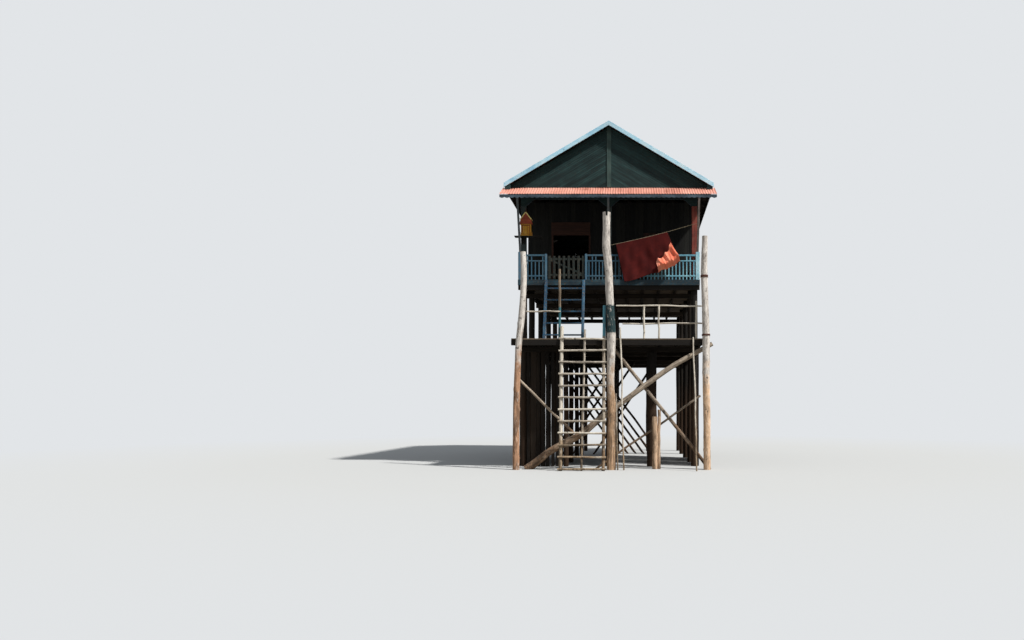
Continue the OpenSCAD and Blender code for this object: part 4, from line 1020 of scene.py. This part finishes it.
def fold(along, beyond, bend):
    """How far cloth beyond the fold turns back and forward, and how much of it is lit."""
    turn = beyond / bend
    lit = min(1.0, turn / 2.4)
    if turn < pi:
        return bend * sin(turn) - beyond, bend * (1 - cos(turn)), lit
    rest = beyond - pi * bend
    beat = 24 * along + 5 * rest
    crease = sin(beat + 0.6 * sin(beat)) * 0.7 + sin(47 * along - 9 * rest) * 0.3
    swell = 0.16 * rest / 0.1 * exp(1 - rest / 0.1) + 0.13 * min(1.0, rest / 0.09) * (1 - rest / 0.62)
    tuck = 0.016 * sin(66 * along + 2 * sin(9 * along)) * min(1.0, rest / 0.03)
    tuck *= exp(-rest / 0.16)
    front = 2 * bend + swell + 0.035 * crease * min(1.0, rest / 0.12) + tuck
    return -rest * (1.0 + 0.04 * crease) - beyond, front, lit


def make_sunshade():
    """A sheet on the line, with its lower right corner blown up and folded over in front."""
    tl, tr, bl, br = np.array(((0.21, 6.7), (1.75, 7.06), (0.47, 5.58), (2.40, 5.59)))
    fold_a, fold_b = np.array(((1.17, 5.70), (2.19, 6.20)))
    way = unit(fold_b - fold_a)
    out = np.array((way[1], -way[0]))
    columns, rows = 110, 80
    points, grain, tone = [], [], []
    for j in range(rows + 1):
        v = j / rows
        for i in range(columns + 1):
            u = i / columns
            top = (1 - u) * tl + u * tr
            p = (1 - v) * top + v * ((1 - u) * bl + u * br)
            line = line_at(top[0])
            rise = ease((u - 0.02) / 0.5) * (1 - ease((u - 0.51) / 0.13))
            p[1] += (line[2] - 0.006 - top[1]) * (1 - v) ** 2 + 0.25 * v * v * rise
            along = float(np.dot(p - fold_a, way))
            edge = 0.02 * sin(9 * along + 1) + 0.012 * sin(23 * along)
            beyond = float(np.dot(p - fold_a, out)) - edge
            front = lit = 0.0
            if beyond > 0:
                shift, front, lit = fold(along, beyond, 0.03)
                p = p + out * shift
            ripple = (0.016 * sin(9.5 * u + 1.2 * v) + 0.010 * sin(23 * u - 3 * v + 1)
                      + 0.006 * sin(41 * u + 9 * v)) * min(1.0, 2.2 * v)
            depth = line[1] - 0.004 - front - 0.05 * v * v - ripple * (1 - 0.7 * lit) - 0.012 * v
            points.append((p[0], depth, p[1]))
            grain.append((1.8 * u, 1.3 * v, 0))
            # the cloth's tone is painted sunlight, 1 where the folded corner is lit
            tone.append(ease(lit))
    row = columns + 1
    faces = [(a, a + 1, a + row + 1, a + row) for j in range(rows) for a in range(j * row, j * row + columns)]
    points = np.array(points)
    stock = Stock()
    stock.points, stock.faces, stock.grain, stock.tone = [points], faces, [np.array(grain)], [np.array(tone)]
    shade = stock.piece("sunshade_cloth", "cloth", "sunshade", smooth=True)
    shade.modifiers.new("thick", "SOLIDIFY").thickness = 0.0012


def make_ropes():
    """Turns of rope round the right log."""
    stock = Stock()
    log = np.array(RIGHT_LOG)
    for z, turns in ((5.5, 4), (3.83, 3)):
        cx, cy, d = (np.interp(z, log[:, 2], log[:, k]) for k in (0, 1, 3))
        r = d / 2 * 1.03 + 0.008
        steps = 30
        path = [(cx + r * cos(2 * pi * k / steps), cy + r * sin(2 * pi * k / steps),
                 z + 0.017 * k / steps, 0.016) for k in range(steps * turns + 1)]
        trunk(stock, path, 8, 0.03, 0.06, 0, tone=0.5)
    stock.piece("log_ropes", "old_rope", "right_log", smooth=True, extra=True)


# ---- light and floor
def make_stage():
    """One sun, an even sky and a grey floor that fades into the pale background."""
    pale = tint((226, 229, 232))
    world = bpy.data.worlds.new("world")
    bpy.context.scene.world = world
    s = Shade("world", owner=world)
    rays = s.put("LightPath").outputs
    mirrored = s.sum(rays["Is Glossy Ray"], rays["Is Transmission Ray"], "MAXIMUM")
    seen = s.sum(rays["Is Camera Ray"], mirrored, "MAXIMUM")
    light = s.put("Background", {0: (0.90, 0.95, 1.0, 1), 1: 0.32}).outputs[0]
    shown = s.put("Background", {0: pale, 1: 1.0}).outputs[0]
    s.put("OutputWorld", {0: s.put("MixShader", {0: seen, 1: light, 2: shown}).outputs[0]})

    sun = bpy.data.lights.new("sun", "SUN")
    sun.energy, sun.angle, sun.color = 3.9, radians(3), (1.0, 0.97, 0.92)
    put_in_scene("sun", sun).rotation_euler = Vector((-0.78, 0.48, -1.0)).to_track_quat("-Z", "Y").to_euler()

    s = Shade("stage_floor")
    rays = s.put("LightPath").outputs
    far = s.span(s.put("VectorMath", {0: s.position()}, operation="LENGTH").outputs["Value"], 12.0, 26.0)
    tone = s.mix(rays["Is Camera Ray"], (150, 146, 138), (208, 210, 211))
    lit = s.put("BsdfDiffuse", {"Color": tone}).outputs[0]
    flat = s.put("Emission", {"Color": pale, "Strength": 1.0}).outputs[0]
    share = s.times(far, s.sum(rays["Is Camera Ray"], rays["Is Glossy Ray"], "MAXIMUM"))
    s.put("OutputMaterial", {0: s.put("MixShader", {0: share, 1: lit, 2: flat}).outputs[0]})
    reach = 180.0
    mesh = bpy.data.meshes.new("stage_floor")
    mesh.from_pydata([(x * reach, y * reach, 0) for x, y in ((-1, -1), (1, -1), (1, 1), (-1, 1))], [],
                     [(0, 1, 2, 3)])
    mesh.materials.append(s.mat)
    put_in_scene("stage_floor", mesh)


make_logs()
make_poles()
make_timbers()
make_gables()
make_roof()
make_gate()
make_shrine()
make_line()
make_sunshade()
make_ropes()
make_trim()
set_camera()
make_stage()
bpy.context.scene.view_settings.view_transform = "Standard"
